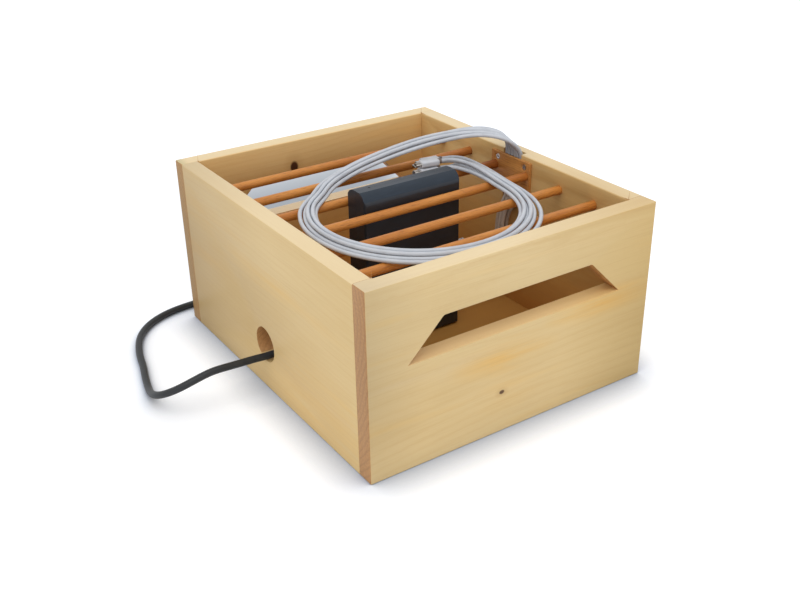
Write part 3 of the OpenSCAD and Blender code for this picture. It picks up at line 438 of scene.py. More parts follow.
def pine(name, axis, pith, seed, knots_at=(), tones=(), shades=(), inward=None, painted_sill_light=None,
         inner_painted_light_and_shade=(1.0, 0.94, 0.84, 1), ringed=0.13):
    """Oiled pine with its grain along an axis. A tone has a place, size, strength and colour, a painted shade
    has a place, size and multiplier (above 1 it paints light), and a knot has a place, size and depth."""
    k = Look(name, rgb(224, 197, 145), 0.5, Specular_IOR_Level=0.35)
    along = k.mapped(rotation=(0, 0, math.radians(90)) if axis == "Y" else (0, 0, 0))
    latewood = pine_rings(k, along, pith, seed)
    fibres = k.noise(k.mapped((14, 750, 750), location=(seed, 0, seed), source=along), 1.0, 3.0, 0.65)
    base = k.mix(k.times(latewood, ringed), pine_face(k, along, seed, tones), PINE_RINGS)
    base = k.mix(k.times(k.ramp(fibres, [(0.34, 1.0), (0.5, 0.0)]), 0.16), base, PINE_FLECKS)
    base = pine_painted_top_light(k, base, painted_sill_light)
    base = pine_ends(k, base, along, axis, seed, latewood)
    if inward:
        base = pine_inner_painted_shade(k, base, inward, inner_painted_light_and_shade)
    # Painted shade by place, and painted light where a multiplier is above 1.
    for at, size, colour in shades:
        base = k.mix(k.math("POWER", k.near(at, size), 1.3), base, colour, "MULTIPLY")
    for knot in knots_at:
        base = pine_knot(k, base, *knot)
    k.color(base)
    k.rough(fibres, 0.42, 0.6)
    k.bump(k.math("ADD", k.times(fibres, 0.7), k.times(latewood, 0.2)), 0.00014, 0.5)
    return k.material


BUNDLE_MID = (0.165, 0.03, 0.178)


def red_wood(name, seed, axis="X", tone=(1, 1, 1, 1)):
    """Reddish oiled hardwood: fine rings, short dark flecks along the grain. The dowels carry painted shade
    where the leads hang over their right ends."""
    k = Look(name, rgb(198, 124, 62), 0.4, Specular_IOR_Level=0.4)
    turn = (0, 0, math.radians(90)) if axis == "Y" else (0, 0, 0)
    along = k.mapped(rotation=turn, location=(seed * 0.37, seed * 0.0513, seed * 0.0291))
    rings = k.node("TexWave", {"Vector": k.mapped((0.35, 1, 1), location=(0, 0.021, 0.013), source=along),
                               "Scale": 210.0, "Distortion": 3.0, "Detail": 2.0, "Detail Scale": 1.2},
                   wave_type="RINGS", rings_direction="X").outputs["Fac"]
    fleck = k.noise(k.mapped((90, 1100, 1100), source=along), 1.0, 2.0, 0.6)
    cloud = k.noise(k.mapped((9, 60, 60), source=along), 1.0, 3.0, 0.6)
    base = k.mix(k.ramp(cloud, [(0.3, 0.0), (0.72, 1.0)]), rgb(217, 146, 68), rgb(188, 114, 46))
    base = k.mix(k.times(rings, 0.25), base, rgb(160, 92, 38))
    base = k.mix(k.times(k.ramp(fleck, [(0.3, 1.0), (0.46, 0.0)]), 0.55), base, rgb(126, 70, 32))
    if axis == "X":
        painted_shade_under_leads = k.math("POWER", k.near(BUNDLE_MID, (0.12, 0.09, 0.09)), 0.8)
        base = k.mix(painted_shade_under_leads, base, (0.52, 0.36, 0.3, 1), "MULTIPLY")
    k.color(k.mix(1.0, base, tone, "MULTIPLY"))
    k.rough(fleck, 0.34, 0.52)
    k.bump(k.math("ADD", fleck, k.times(rings, 0.3)), 0.00012, 0.5)
    return k.material


def moulded(name, base, low, high, grain=0.00006, scale=2600.0, level=0.5, tint=None, dust_and_sheen=None, front=None):
    """Moulded plastic: a fine leathery grain, faint cloudiness in gloss, a trace of dust that may also paint
    a sheen, and faces that look to the front may be painted lighter.
    """
    k = Look(name, base, low, Specular_IOR_Level=level)
    if tint:
        k.bsdf.inputs["Specular Tint"].default_value = tint
    cells = k.node("TexVoronoi", {"Vector": k.place, "Scale": scale}, feature="SMOOTH_F1").outputs["Distance"]
    cloud = k.noise(k.place, 34.0, 4.0, 0.6)
    scuff = k.noise(k.mapped((40, 40, 320)), 1.0, 3.0, 0.7)
    k.rough(k.math("ADD", k.times(cloud, 0.7), k.times(scuff, 0.3)), low, high)
    # Painted light: faces that look to the front get a lighter colour.
    if front:
        base = k.mix(k.math("LESS_THAN", k.split("Normal")[1], -0.9), base, front)
    # Dust, and where its colour is bluish, a painted sheen.
    if dust_and_sheen:
        k.color(k.mix(k.ramp(scuff, [(0.5, 0.0), (0.8, dust_and_sheen[1])]), base, dust_and_sheen[0]))
    k.bump(cells, grain, 0.5)
    return k.material


def lead_skin(name, base, dark, low, high, speckle=60.0, shades=()):
    """The skin of a lead: smooth, with faint waves, thumb marks, gloss that varies and painted shade by
    place.
    """
    k = Look(name, base, low, Specular_IOR_Level=0.45)
    cloud = k.noise(k.place, speckle, 3.0, 0.55)
    fine = k.noise(k.place, 900.0, 2.0, 0.6)
    skin = k.mix(k.times(k.ramp(cloud, [(0.42, 0.0), (0.75, 1.0)]), 0.6), base, dark)
    for at, size, colour in shades:
        skin = k.mix(k.ramp(k.near(at, size), [(0.0, 0.0), (0.5, 1.0)]), skin, colour, "MULTIPLY")
    k.color(skin)
    k.rough(fine, low, high)
    k.bump(k.math("ADD", cloud, k.times(fine, 0.15)), 0.00025, 0.35)
    return k.material


def metal(name, base, low, high, brush=(60, 900, 900), bump=0.00002):
    """Brushed metal with faint clouds."""
    k = Look(name, base, low, 1.0)
    scratch = k.noise(k.mapped(brush), 1.0, 4.0, 0.7)
    cloud = k.noise(k.place, 160.0, 3.0, 0.6)
    k.color(k.mix(k.times(cloud, 0.35), base, tuple(c * 0.72 for c in base[:3]) + (1,)))
    k.rough(scratch, low, high)
    k.bump(scratch, bump, 0.6)
    return k.material


def board_material():
    """Green circuit board: traces that run in straight lanes, solder rings and a weave that shows through."""
    k = Look("board_green", rgb(22, 92, 50), 0.35)
    upright = k.mapped((90, 90, 90), rotation=(math.radians(90), 0, 0))
    lanes = k.node("TexBrick", {"Vector": upright, "Scale": 1.0, "Mortar Size": 0.05, "Color1": (0, 0, 0, 1),
                                "Color2": (0, 0, 0, 1), "Mortar": (1, 1, 1, 1)}).outputs["Color"]
    dots = k.node("TexVoronoi", {"Vector": k.place, "Scale": 170.0}).outputs["Distance"]
    rings = k.ramp(dots, [(0.0, 1.0), (0.12, 1.0), (0.14, 0.0)])
    base = k.mix(k.times(lanes, 0.8), rgb(18, 84, 46), rgb(46, 128, 72))
    base = k.mix(k.times(rings, 0.8), base, rgb(190, 188, 176))
    weave = k.node("TexChecker", {"Vector": k.place, "Scale": 1800.0}).outputs["Fac"]
    k.color(base)
    k.bump(k.math("ADD", k.times(lanes, 0.6), k.times(weave, 0.1)), 0.00006, 0.6)
    k.rough(k.noise(k.place, 220.0), 0.3, 0.45)
    return k.material


def wound_material():
    """Varnished copper wire laid turn by turn."""
    k = Look("wound_copper", rgb(176, 104, 52), 0.32, 0.85)
    wire = k.node("TexWave", {"Vector": k.mapped(), "Scale": 620.0, "Distortion": 0.25},
                  bands_direction="Y").outputs["Fac"]
    cloud = k.noise(k.place, 300.0, 3.0)
    k.color(k.mix(wire, rgb(120, 62, 28), k.mix(cloud, rgb(196, 122, 62), rgb(168, 96, 46))))
    k.rough(cloud, 0.25, 0.4)
    k.bump(wire, 0.00025, 0.9)
    return k.material


def can_material():
    """A capacitor's printed sleeve with its pale stripe and bare vented end."""
    k = Look("capacitor_sleeve", rgb(30, 44, 84), 0.3)
    face = k.math("GREATER_THAN", k.split("Normal")[1], 0.8)
    stripe = k.math("GREATER_THAN", k.split("Normal")[0], 0.86)
    cloud = k.noise(k.place, 260.0, 3.0)
    base = k.mix(cloud, rgb(28, 40, 80), rgb(36, 52, 98))
    base = k.mix(stripe, base, rgb(168, 176, 196))
    base = k.mix(face, base, k.mix(cloud, rgb(190, 190, 194), rgb(160, 160, 166)))
    k.color(base)
    k.rough(cloud, 0.24, 0.4)
    k.bump(cloud, 0.00005, 0.4)
    return k.material


def light_material():
    """The smoky lens of a light that is off."""
    k = Look("status_light", rgb(26, 34, 34), 0.18, Transmission_Weight=0.25)
    c = k.noise(k.place, 1500.0, 2.0)
    k.color(k.mix(c, rgb(20, 28, 28), rgb(34, 46, 44)))
    k.rough(c, 0.12, 0.24)
    k.bump(c, 0.00003, 0.4)
    return k.material


def webbing_material():
    """The tie's hook-and-loop strap: close rows of small loops."""
    k = Look("tie_webbing", rgb(30, 30, 32), 0.85, Sheen_Weight=0.3)
    rows = k.node("TexVoronoi", {"Vector": k.place, "Scale": 1700.0}).outputs["Distance"]
    k.color(k.mix(rows, rgb(20, 20, 22), rgb(58, 58, 62)))
    k.rough(rows, 0.75, 0.95)
    k.bump(rows, 0.0003, 0.9)
    return k.material


LOOKS = {
    # The front's sill colour is painted light on the floor of its handle slot.
    "front": pine("pine_front", "X", (0.0, -0.035, 0.150), 1.3, inward=(0, 1, 0), painted_sill_light=rgb(242, 206, 148),
                  knots_at=[((-0.020, -0.205, 0.047), (0.0038, 0.006, 0.0026), 0.9)],
                  tones=[((-0.018, -0.205, 0.088), (0.075, 0.05, 0.022), 0.85, RESIN),
                         ((0.110, -0.205, 0.108), (0.085, 0.05, 0.02), 1.0, RESIN),
                         ((-0.01, -0.205, 0.047), (0.05, 0.05, 0.03), 0.35, RESIN),
                         # A pale band along the top of the front face is painted light.
                         ((0.01, -0.205, 0.205), (0.2, 0.05, 0.06), 0.6, FRONT_TOP_PAINTED_LIGHT)],
                  # Painted shade on the front's left end, its right end and the right end of its rim.
                  shades=[((-0.195, -0.205, 0.13), (0.09, 0.05, 0.22), (0.68, 0.69, 0.74, 1)),
                          ((0.2, -0.205, 0.02), (0.15, 0.05, 0.2), (0.66, 0.62, 0.5, 1)),
                          ((0.2, -0.205, 0.12), (0.2, 0.05, 0.3), (0.93, 0.88, 0.72, 1)),
                          ((0.175, -0.195, 0.206), (0.22, 0.03, 0.02), (0.86, 0.79, 0.69, 1))]),
    # The back's sill colour is painted light on the floor of its handle slot.
    "back": pine("pine_back", "X", (0.0, 0.31, 0.05), 4.1, inward=(0, -1, 0), painted_sill_light=rgb(243, 220, 184),
                 # The back's inner face is painted lighter.
                 inner_painted_light_and_shade=(1.14, 1.06, 0.96, 1),
                 knots_at=[((-0.033, 0.185, 0.1705), (0.0062, 0.010, 0.0085), 1.0)],
                 # Painted shade on the back's left end.
                 shades=[((-0.176, 0.26, 0.09), (0.014, 0.16, 0.3), (0.22, 0.36, 0.2, 1))]),
    "left": pine("pine_left", "Y", (0.0, -0.32, 0.33), 7.7, inward=(1, 0, 0), ringed=0.08,
                 tones=[((-0.175, -0.1, 0.02), (0.05, 0.2, 0.08), 0.35, RESIN)],
                 # Painted shade towards the back of the left face.
                 shades=[((-0.175, 0.26, 0.08), (0.05, 0.32, 0.26), (0.43, 0.34, 0.14, 1))]),
    "right": pine("pine_right", "Y", (0.0, 0.30, 0.02), 9.2, inward=(-1, 0, 0),
                  # Painted shade on the right wall's inner face, painted light low towards the front, and
                  # painted shade on the rim under the leads.
                  shades=[((0.155, -0.14, 0.155), (0.04, 0.16, 0.095), (0.66, 0.58, 0.46, 1)),
                          ((0.155, -0.13, 0.07), (0.04, 0.16, 0.06), (1.3, 1.34, 1.3, 1)),
                          ((0.165, 0.02, 0.204), (0.03, 0.07, 0.01), (0.8, 0.8, 0.8, 1))]),
    "floor": pine("pine_floor", "X", (0.0, 0.0, -0.08), 12.5, inward=(0, 0, 1),
                  # The bottom board's upper face is painted darker.
                  inner_painted_light_and_shade=(0.93, 0.85, 0.7, 1)),
    "pins": pine("pine_pins", "Y", (0.0, 0.2, 0.1), 15.1),
    "rod": [red_wood(f"red_wood_{i}", i * 1.7 + 0.4) for i in range(3)],
    "plate": red_wood("red_wood_plate", 7.0, "Y", (0.9, 1.02, 1.4, 1)),
    "screw": metal("steel_bright", rgb(205, 205, 208), 0.16, 0.34),
    "tip": metal("steel_tip", rgb(186, 180, 172), 0.25, 0.42),
    "pin": metal("plated_pin", rgb(200, 200, 200), 0.18, 0.32),
    # The shell's bluish dust is partly real dust and partly painted sheen, and its front colour is painted
    # light.
    "shell": moulded("charger_plastic", rgb(31, 34, 41), 0.32, 0.46, level=0.56, tint=(0.62, 0.8, 1.0, 1),
                     dust_and_sheen=(rgb(50, 58, 72), 0.35), front=rgb(44, 42, 44)),
    "black": moulded("black_plastic", rgb(26, 28, 30), 0.38, 0.55, dust_and_sheen=(rgb(52, 54, 58), 0.3)),
    "foot": moulded("foot_rubber", rgb(22, 22, 23), 0.7, 0.9, grain=0.0001, scale=1800.0),
    "board": board_material(),
    "copper": wound_material(),
    "can": can_material(),
    "sink": metal("sink_aluminium", rgb(188, 190, 194), 0.3, 0.48, brush=(900, 900, 40)),
    "light": light_material(),
    "tie": webbing_material(),
    "lead": lead_skin("white_lead", rgb(199, 203, 210), rgb(176, 181, 190), 0.36, 0.5,
                      # Painted shade on the leads' end at the rim, and redder painted shade on the risers low
                      # in the crate.
                      shades=[((0.158, 0.0, 0.185), (0.024, 0.04, 0.05), (0.72, 0.74, 0.77, 1)),
                              ((0.150, 0.0, 0.07), (0.09, 0.05, 0.15), (0.84, 0.66, 0.5, 1))]),
    "plug": moulded("white_plastic", rgb(208, 210, 216), 0.34, 0.5, grain=0.00003,
                    dust_and_sheen=(rgb(182, 182, 188), 0.4)),
    "collar": moulded("collar_plastic", rgb(128, 112, 104), 0.45, 0.6, grain=0.00004),
    "mains": lead_skin("mains_lead", rgb(30, 33, 36), rgb(44, 47, 51), 0.4, 0.58),
}


# Laptop leads, in millimetres, with X from the right wall's inner face and Z from the middle of the ring

LEAD_R, MAINS_R = 2.25, 4.0
X_IN, RING_Z = 155, 189.25
ARCH = [(2.5, 0, -13.3), (2.5, 0, -1.3), (2.5, 0, 9.7), (0.5, 0.5, 19.7), (-6, 2, 29.2), (-17, 6.5, 36.2),
        (-35, 17, 40.2), (-61, 37, 35.7), (-92, 55, 27.7), (-125, 68, 18.7), (-163, 73.5, 9.7),
        (-200, 65, 3.7), (-219, 54.5, 1.7)]
TAILS = [
    [(-51, -45, 4.6), (-47.6, -13, 4.7), (-48.5, 13, 4.9), (-53, 31, 4.3), (-58, 41.5, 3.1)],
    [(-54, -45, 0), (-50.5, -13, 0), (-51.2, 12, 0), (-54, 30, -0.5), (-58, 41.5, -6.3)],
    [(-48.2, -45, 0), (-44.8, -12, 0), (-44.8, 14, 0.2), (-46.2, 37, -1.3), (-49.5, 53, -8.8)],
    [(-56.8, -45, 4.5), (-53.5, -16, 5.7), (-54.5, 6, 7.7), (-58.5, 20, 8.9), (-64.5, 30, 9.2)],
    [(-42.5, -45, 0), (-38.7, -9, 1.2), (-38.2, 18, 2.2), (-39.5, 40, 2.2), (-44, 54, 0.9)],
    [(-59.5, -45, 0), (-56, -16, 0), (-57, 6, 0.1), (-61, 20, 0.6), (-67, 29.5, 1)],
]
PLUG_ENDS = [(-71, 47.8, 2.5), (-71, 47.5, -9.3), (-63, 59.5, -11.3), (-77, 35, 9.2), (-58, 60.5, 0.2),
             (-79, 34.5, 1)]
PLUG_WAY = Vector((math.cos(math.radians(171.4)), math.sin(math.radians(171.4)), 0))
RING_MID, RING_R = (-14, -54), 115.5
RING_LANES, RING_UPPER = [0, -1, 1, -2, 3, -3], [1, 0, 0, 1, 0, 0]
ANGLES = [125 + 15 * i for i in range(16)]
# From lead to lead in the channel and in the ring, and between the middles of two that lie on each other
CHANNEL_PITCH, RING_PITCH, CLEAR = 5.0, 2.7, 4.98
FRONT_SPREAD = 0.45
# Shares of the arch's length where the leads change lanes and rise, and how level their way is when they turn
CHANGE_FROM, RISE_FROM, RISE_TO, TURN_FROM = 0.45, 0.12, 0.5, 0.2
PLUG_STRAIGHT = 5


def in_crate(p):
    """A point of a lead's way in the crate's own place."""
    return Vector((X_IN + p[0], p[1], RING_Z + p[2]))


def on_ring(degrees):
    """A point of the ring's middle line."""
    a = math.radians(degrees)
    return Vector((RING_MID[0] + RING_R * math.cos(a), RING_MID[1] + RING_R * math.sin(a), RING_Z))


BUNDLE = [in_crate(p) for p in ARCH] + [on_ring(a) for a in ANGLES]
DISTANCES = [0.0]
for p, q in zip(BUNDLE, BUNDLE[1:]):
    DISTANCES.append(DISTANCES[-1] + (q - p).length)


def lane(k):
    """A lead's place across the channel."""
    return (1 if k % 2 == 0 else -1) * (k // 2 + 0.5) * CHANNEL_PITCH


def ease(t, low, high):
    """From 0 to 1 between two values, smoothly."""
    s = min(max((t - low) / (high - low), 0), 1)
    return s * s * (3 - 2 * s)


def lead_point(k, i):
    """A lead's own point at the bundle's point i: beside it and, for two leads, above it."""
    if i < len(ARCH):
        way = (BUNDLE[i + 1] - BUNDLE[max(i - 1, 0)]).normalized()
        a = math.radians(ANGLES[0])
    else:
        a = math.radians(ANGLES[i - len(ARCH)])
        way = Vector((-math.sin(a), math.cos(a), 0))
    flat = math.hypot(way.x, way.y)
    share = min(max((flat - TURN_FROM) / (2 * TURN_FROM), 0), 1)
    level = Vector((way.y, -way.x, 0)) / flat if share > 0 else Vector((0, 1, 0))
    side = (level * share + Vector((0, 1, 0)) * (1 - share)).normalized()
    t = min(DISTANCES[i] / DISTANCES[len(ARCH)], 1)
    pitch = RING_PITCH * (1 + FRONT_SPREAD * max(0, -math.sin(a)))
    change = ease(t, CHANGE_FROM, 1)
    beside = lane(k) * (1 - change) + RING_LANES[k] * pitch * change
    above = RING_UPPER[k] * math.sqrt(CLEAR ** 2 - pitch ** 2) * ease(t, RISE_FROM, RISE_TO)
    return BUNDLE[i] + side * beside + side.cross(way).normalized() * above


def lead_route(k):
    """A lead's way from the channel to its laptop plug."""
    end = in_crate(PLUG_ENDS[k])
    return ([lead_point(k, i) for i in range(len(BUNDLE))] + [in_crate(p) for p in TAILS[k]]
            + [end - PLUG_STRAIGHT * PLUG_WAY, end])


# The mains lead: out of the hole, round the left back corner, the coil, and on to the plug

SIDE_WAY = [(-174, 2.6, 41), (-186, 3, 41.6), (-204, 3, 42.4), (-222, 3, 43.2), (-238, 3.5, 43),
            (-252, 4, 40.5), (-264, 6, 36.5), (-275, 11, 31), (-284, 20, 24.5), (-289, 32, 18),
            (-290, 46, 12), (-288, 62, 7), (-284, 80, 4.6), (-279, 100, 4.3), (-273, 122, 4.3),
            (-268, 144, 4.3), (-261, 166, 4.3), (-251, 187, 4.3), (-236, 205, 4.3), (-217, 218, 4.3),
            (-195, 226, 4.3), (-172, 229, 4.3), (-149, 229.5, 4.3), (-126, 229, 4.4), (-104, 228.4, 4.8),
            (-86, 228, 5.3), (-77, 228, 5.3)]
MAINS_EXIT, PLUG_START = (-165, 2.6, 41), (7, 236, 18.7)
PLUG_WAY_IN = [(-44, 232.3, 13.9), (-32, 233, 14.6), (-17, 234.7, 16.6), (-2, 236, 18.7)]
COIL_MID, COIL_R, COIL_STEP, COIL_LOW = (-60, 284), 56, 8.6, 5.3
COIL_TURNS, COIL_CLIMB_AT, COIL_CLIMB, COIL_STEPS = 4, 2.25, 0.5, 20


def coil_point(turns):
    """The coil spirals in on the surface, climbs a layer in half a turn and spirals out again."""
    r = COIL_R - COIL_STEP * COIL_CLIMB_AT + COIL_STEP * abs(turns - COIL_CLIMB_AT)
    a = math.radians(270 + 360 * turns)
    rise = min(max((turns - COIL_CLIMB_AT) / COIL_CLIMB + 0.5, 0), 1)
    return (COIL_MID[0] + r * math.cos(a), COIL_MID[1] + r * math.sin(a), COIL_LOW + COIL_STEP * rise)


COIL = [coil_point(i / COIL_STEPS) for i in range(COIL_TURNS * COIL_STEPS + 1)]
MAINS_ROUTE = [MAINS_EXIT] + SIDE_WAY + COIL + PLUG_WAY_IN + [PLUG_START]
MAINS_INSIDE = [(-112, 0, 42), (-119.95, 0, 42), (-131.1, 0.3, 41.9), (-143.8, 1.6, 41.4), (-155.5, 2.6, 41),
                MAINS_EXIT]


# The charger's ends and output sockets, and the risers, which leave the channel in a rear and a front row

SHELL_LEFT, SHELL_RIGHT = -58.0, 66.0
BOOT_ROOT, BOOT_END = 94, 104
PORT_LOW, PORT_STEP = 48, 11.8
RISER_DOWN = [(2.5, -13.3), (2.5, -19.3), (2.5, -31.3)]
RISER_OUT = [[(1.5, -44.3), (-1, -57.3)], [(-3, -44.3), (-8, -57.3)]]
RISER_ROWS, RISER_PLACES, RISER_SHIFT = [1, 1, 1, 0, 0, 0], [5, 0, 10, 4, 10, -1], [0.3, 1]
RISER_FAR, RISER_NEAR = [(-5, 30), (-17, 30)], (21, 22)
RISER_STEPS = 5


def riser_route(k):
    """A riser's way: the channel, a bend on one cubic curve, and straight into its boot."""
    row, place, y, z = RISER_ROWS[k], RISER_PLACES[k], lane(k), PORT_LOW + PORT_STEP * (5 - k)
    out = [in_crate((p[0], y + s * (place - y), p[1])) for p, s in zip(RISER_OUT[row], RISER_SHIFT)]
    far = Vector((X_IN + RISER_FAR[row][0], place, z - RISER_FAR[row][1]))
    near, meet = Vector((BOOT_END + RISER_NEAR[0], 0, z - RISER_NEAR[1])), Vector((BOOT_END, 0, z))
    bend = [cubic(out[1], far, near, meet, i / RISER_STEPS) for i in range(RISER_STEPS + 1)]
    return [in_crate((x, y, h)) for x, h in RISER_DOWN] + [out[0]] + bend + [Vector((BOOT_ROOT, 0, z))]


def metres(points):
    return [tuple(c * MM for c in p) for p in points]


# Laptop plugs, drawn along +X from where the lead ends: a collar with two grooves, a body and a tip

COLLAR = [(-0.2, 2.3), (0.0, 3.05), (0.3, 3.25), (1.0, 3.25), (1.25, 2.95), (1.55, 2.95), (1.8, 3.25),
          (2.4, 3.25), (2.65, 2.95), (2.95, 2.95), (3.2, 3.25), (4.05, 3.25)]
TIP_FROM, TIP_TO = 25.9, 32.5


def plug_body_mesh(w=12.0, h=7.0, x0=4.0, x1=26.0, r=2.0):
    """A moulded body with eased ends and a slightly narrower grip."""
    loops = []
    for x, cut in ((x0, 0.9), (x0 + 0.25, 0.45), (x0 + 0.9, 0.0), (x0 + 5.0, 0.0), (x0 + 6.2, 0.12),
                   (x0 + 15.8, 0.12), (x0 + 17.0, 0.0), (x1 - 0.9, 0.0), (x1 - 0.25, 0.35), (x1, 0.8)):
        loops.append(oblong(x, w - 2 * cut, h - 2 * cut, max(r - cut * 0.4, 0.6)))
    return loft(loops, angle=50)


def tip_mesh(x0, x1, w=8.3, h=2.4, wall=0.3):
    """The metal mouth: outside, round its lip, and back along its inside to a floor."""
    r = h / 2 - 0.02
    within = (w - 2 * wall, h - 2 * wall, r - wall)
    loops = [oblong(x0, w, h, r), oblong(x1 - 0.25, w, h, r), oblong(x1, w - 0.25, h - 0.25, r - 0.13),
             oblong(x1, *within), oblong(x0 + 1.4, *within)]
    return loft(loops, angle=40)


for k in range(6):
    route = metres(lead_route(k))
    curve = spline_curve(f"lead_{k + 1}", route, LEAD_R * MM, LOOKS["lead"], first=(0, 0, 1),
                         last=PLUG_WAY)
    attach(curve, "crate")
    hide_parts(f"lead_loop_{k + 1}")
    at = in_crate(PLUG_ENDS[k]) * MM
    form = placed(revolve(COLLAR, 32, angle=50), at, PLUG_WAY)
    collar = add(f"lead_collar_{k + 1}", form, LOOKS["collar"], "crate")
    form = placed(plug_body_mesh(), at, PLUG_WAY)
    body = add(f"laptop_plug_{k + 1}", form, LOOKS["plug"], "crate")
    form = placed(tip_mesh(TIP_FROM, TIP_TO), at, PLUG_WAY)
    tip = add(f"laptop_tip_{k + 1}", form, LOOKS["tip"], "crate")
    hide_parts(f"lead_plug_{k + 1}")
    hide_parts("lead_plug_tips")
    line = dense(route, 8, (0, 0, 1), PLUG_WAY)

mains = spline_curve("mains_lead", metres(MAINS_ROUTE), MAINS_R * MM, LOOKS["mains"],
                     first=(-1, 0, 0), last=(1, 0, 0), sides=4, steps=6)
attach(mains, "crate")
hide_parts("mains_lead_outside", "mains_lead_coil", "mains_lead_end")


# The round mains plug: a ribbed boot, a body with grip flutes and a rim, and two pins with sleeves

BOOT_LENGTH, BODY_LENGTH, PIN_SPACING = 30, 31.4, 19
FLUTES, FLUTE_DEPTH, FLUTES_FROM, FLUTES_TO = 18, 0.35, 3, 16
PLUG_BODY = [(0, 6.9), (0, 8.6), (0.6, 9.0), (3, 10.5), (3.2, 10.6), (6, 12.3), (10, 14.6), (14, 16.4),
             (15.9, 17.1), (16.2, 17.3), (17.2, 18.2), (18.2, 18.5), (22.5, 18.5), (22.8, 18.2), (23.3, 18.2),
             (23.6, 18.5), (30.4, 18.5), (31.4, 18.1), (32, 17.2), (32, 15.4), (31.4, 14.9), (31.4, 0.01)]
PIN_SLEEVE = [(0, 2.4), (9.8, 2.4), (10.0, 2.3), (10.0, 1.9)]
PIN = [(9.9, 2.2), (10.2, 2.4), (17.6, 2.4), (18.6, 2.0), (19.3, 1.3), (19.6, 0.5)]


def relief_profile(length, root, end, ribs, start=0.0):
    """A strain relief from its thin end: a cone with grooves round it."""
    out = [(start, end)]
    step = length / ribs
    for i in range(ribs):
        x = start + i * step
        for u, dip in ((0.12, 0.0), (0.5, 0.0), (0.6, 0.55), (0.88, 0.55)):
            share = (x + u * step - start) / length
            out.append((x + u * step, end + (root - end) * share - dip))
    out.append((start + length, root))
    return out


def flutes(x, a):
    """Shallow flutes along the grip."""
    return -FLUTE_DEPTH * max(0.0, math.cos(FLUTES * a)) if FLUTES_FROM < x < FLUTES_TO else 0.0


at = [c * MM for c in PLUG_START]
form = revolve(relief_profile(BOOT_LENGTH, root=6.5, end=4.3, ribs=9), 40)
relief = add("mains_plug_boot", placed(form, at), LOOKS["black"], "crate")
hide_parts("mains_plug_relief")
body_at = (at[0] + BOOT_LENGTH * MM, at[1], at[2])
form = revolve(PLUG_BODY, 144, flutes)
plug = add("mains_plug_body", placed(form, body_at), LOOKS["black"], "crate")
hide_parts("mains_plug")
pins = []
for side in (-1, 1):
    spot = (at[0] + (BOOT_LENGTH + BODY_LENGTH) * MM, at[1] + side * PIN_SPACING / 2 * MM, at[2])
    form = placed(revolve(PIN_SLEEVE, 32), spot)
    sleeve = add(f"plug_sleeve_{side + 1}", form, LOOKS["black"], "crate")
    form = placed(revolve(PIN, 32, angle=60), spot)
    pin = add(f"plug_pin_{side + 1}", form, LOOKS["pin"], "crate")
    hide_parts("mains_plug_pins")
    pins += [sleeve, pin]


TIE_HALF, TIE_THICK, TIE_ROUND, TIE_INNER_ROUND, TIE_EASE, TIE_GAP = 5, 0.8, 2.8, 2.0, 0.25, 0.15


def strap_mesh():
    """The tie: a flat strap with eased edges, closed round the coil."""
    inner, outer = COIL_R - COIL_STEP * COIL_CLIMB_AT - MAINS_R - TIE_GAP, COIL_R + MAINS_R + TIE_GAP
    low, high = COIL_LOW - MAINS_R - TIE_GAP, COIL_LOW + COIL_STEP + MAINS_R + TIE_GAP
    w, h = outer - inner, high - low
    mid = (COIL_MID[1] + (inner + outer) / 2, (low + high) / 2)
    edges = [(-TIE_HALF, TIE_EASE), (0.3 - TIE_HALF, 0.0), (TIE_HALF - 0.3, 0.0), (TIE_HALF, TIE_EASE)]
    outside = [(x, 2 * (TIE_THICK - pull), TIE_ROUND - pull) for x, pull in edges]
    inside = [(x, 2 * pull, TIE_INNER_ROUND + pull) for x, pull in edges[::-1]]
    loops = []
    for x, more, r in outside + inside:
        loop = oblong(0, w + more, h + more, r, 8)
        loops.append([(COIL_MID[0] + x, mid[0] + p[1], mid[1] + p[2]) for p in loop])
    return loft(loops, caps=False, closed=True, angle=50)


tie = add("coil_tie", strap_mesh(), LOOKS["tie"], "crate")
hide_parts("mains_lead_tie")
mains_line = dense(metres(MAINS_ROUTE), 6, (-1, 0, 0), (1, 0, 0))


# Leads between the crate and the charger


def bent_tube(name, points, radius, sides, first, material, node):
    """A tube along a way that ends toward -X."""
    line = dense(points, 8, first, (-1, 0, 0))
    obj = add(name, loft(rings_along(line, radius, sides)), material)
    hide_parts(node)
    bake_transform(obj)


for k in range(6):
    bent_tube(f"riser_{k + 1}", riser_route(k), LEAD_R, 14, (0, 0, -1), LOOKS["lead"],
              f"lead_riser_{k + 1}")
bent_tube("mains_stretch", MAINS_INSIDE, MAINS_R, 20, (-1, 0, 0), LOOKS["mains"],
          "mains_lead_inside")


# The crate's and the charger's own solids, each with its material, body and width of eased edges

SHADE_ANGLE, SHELL_SHADE_ANGLE = 28, 10

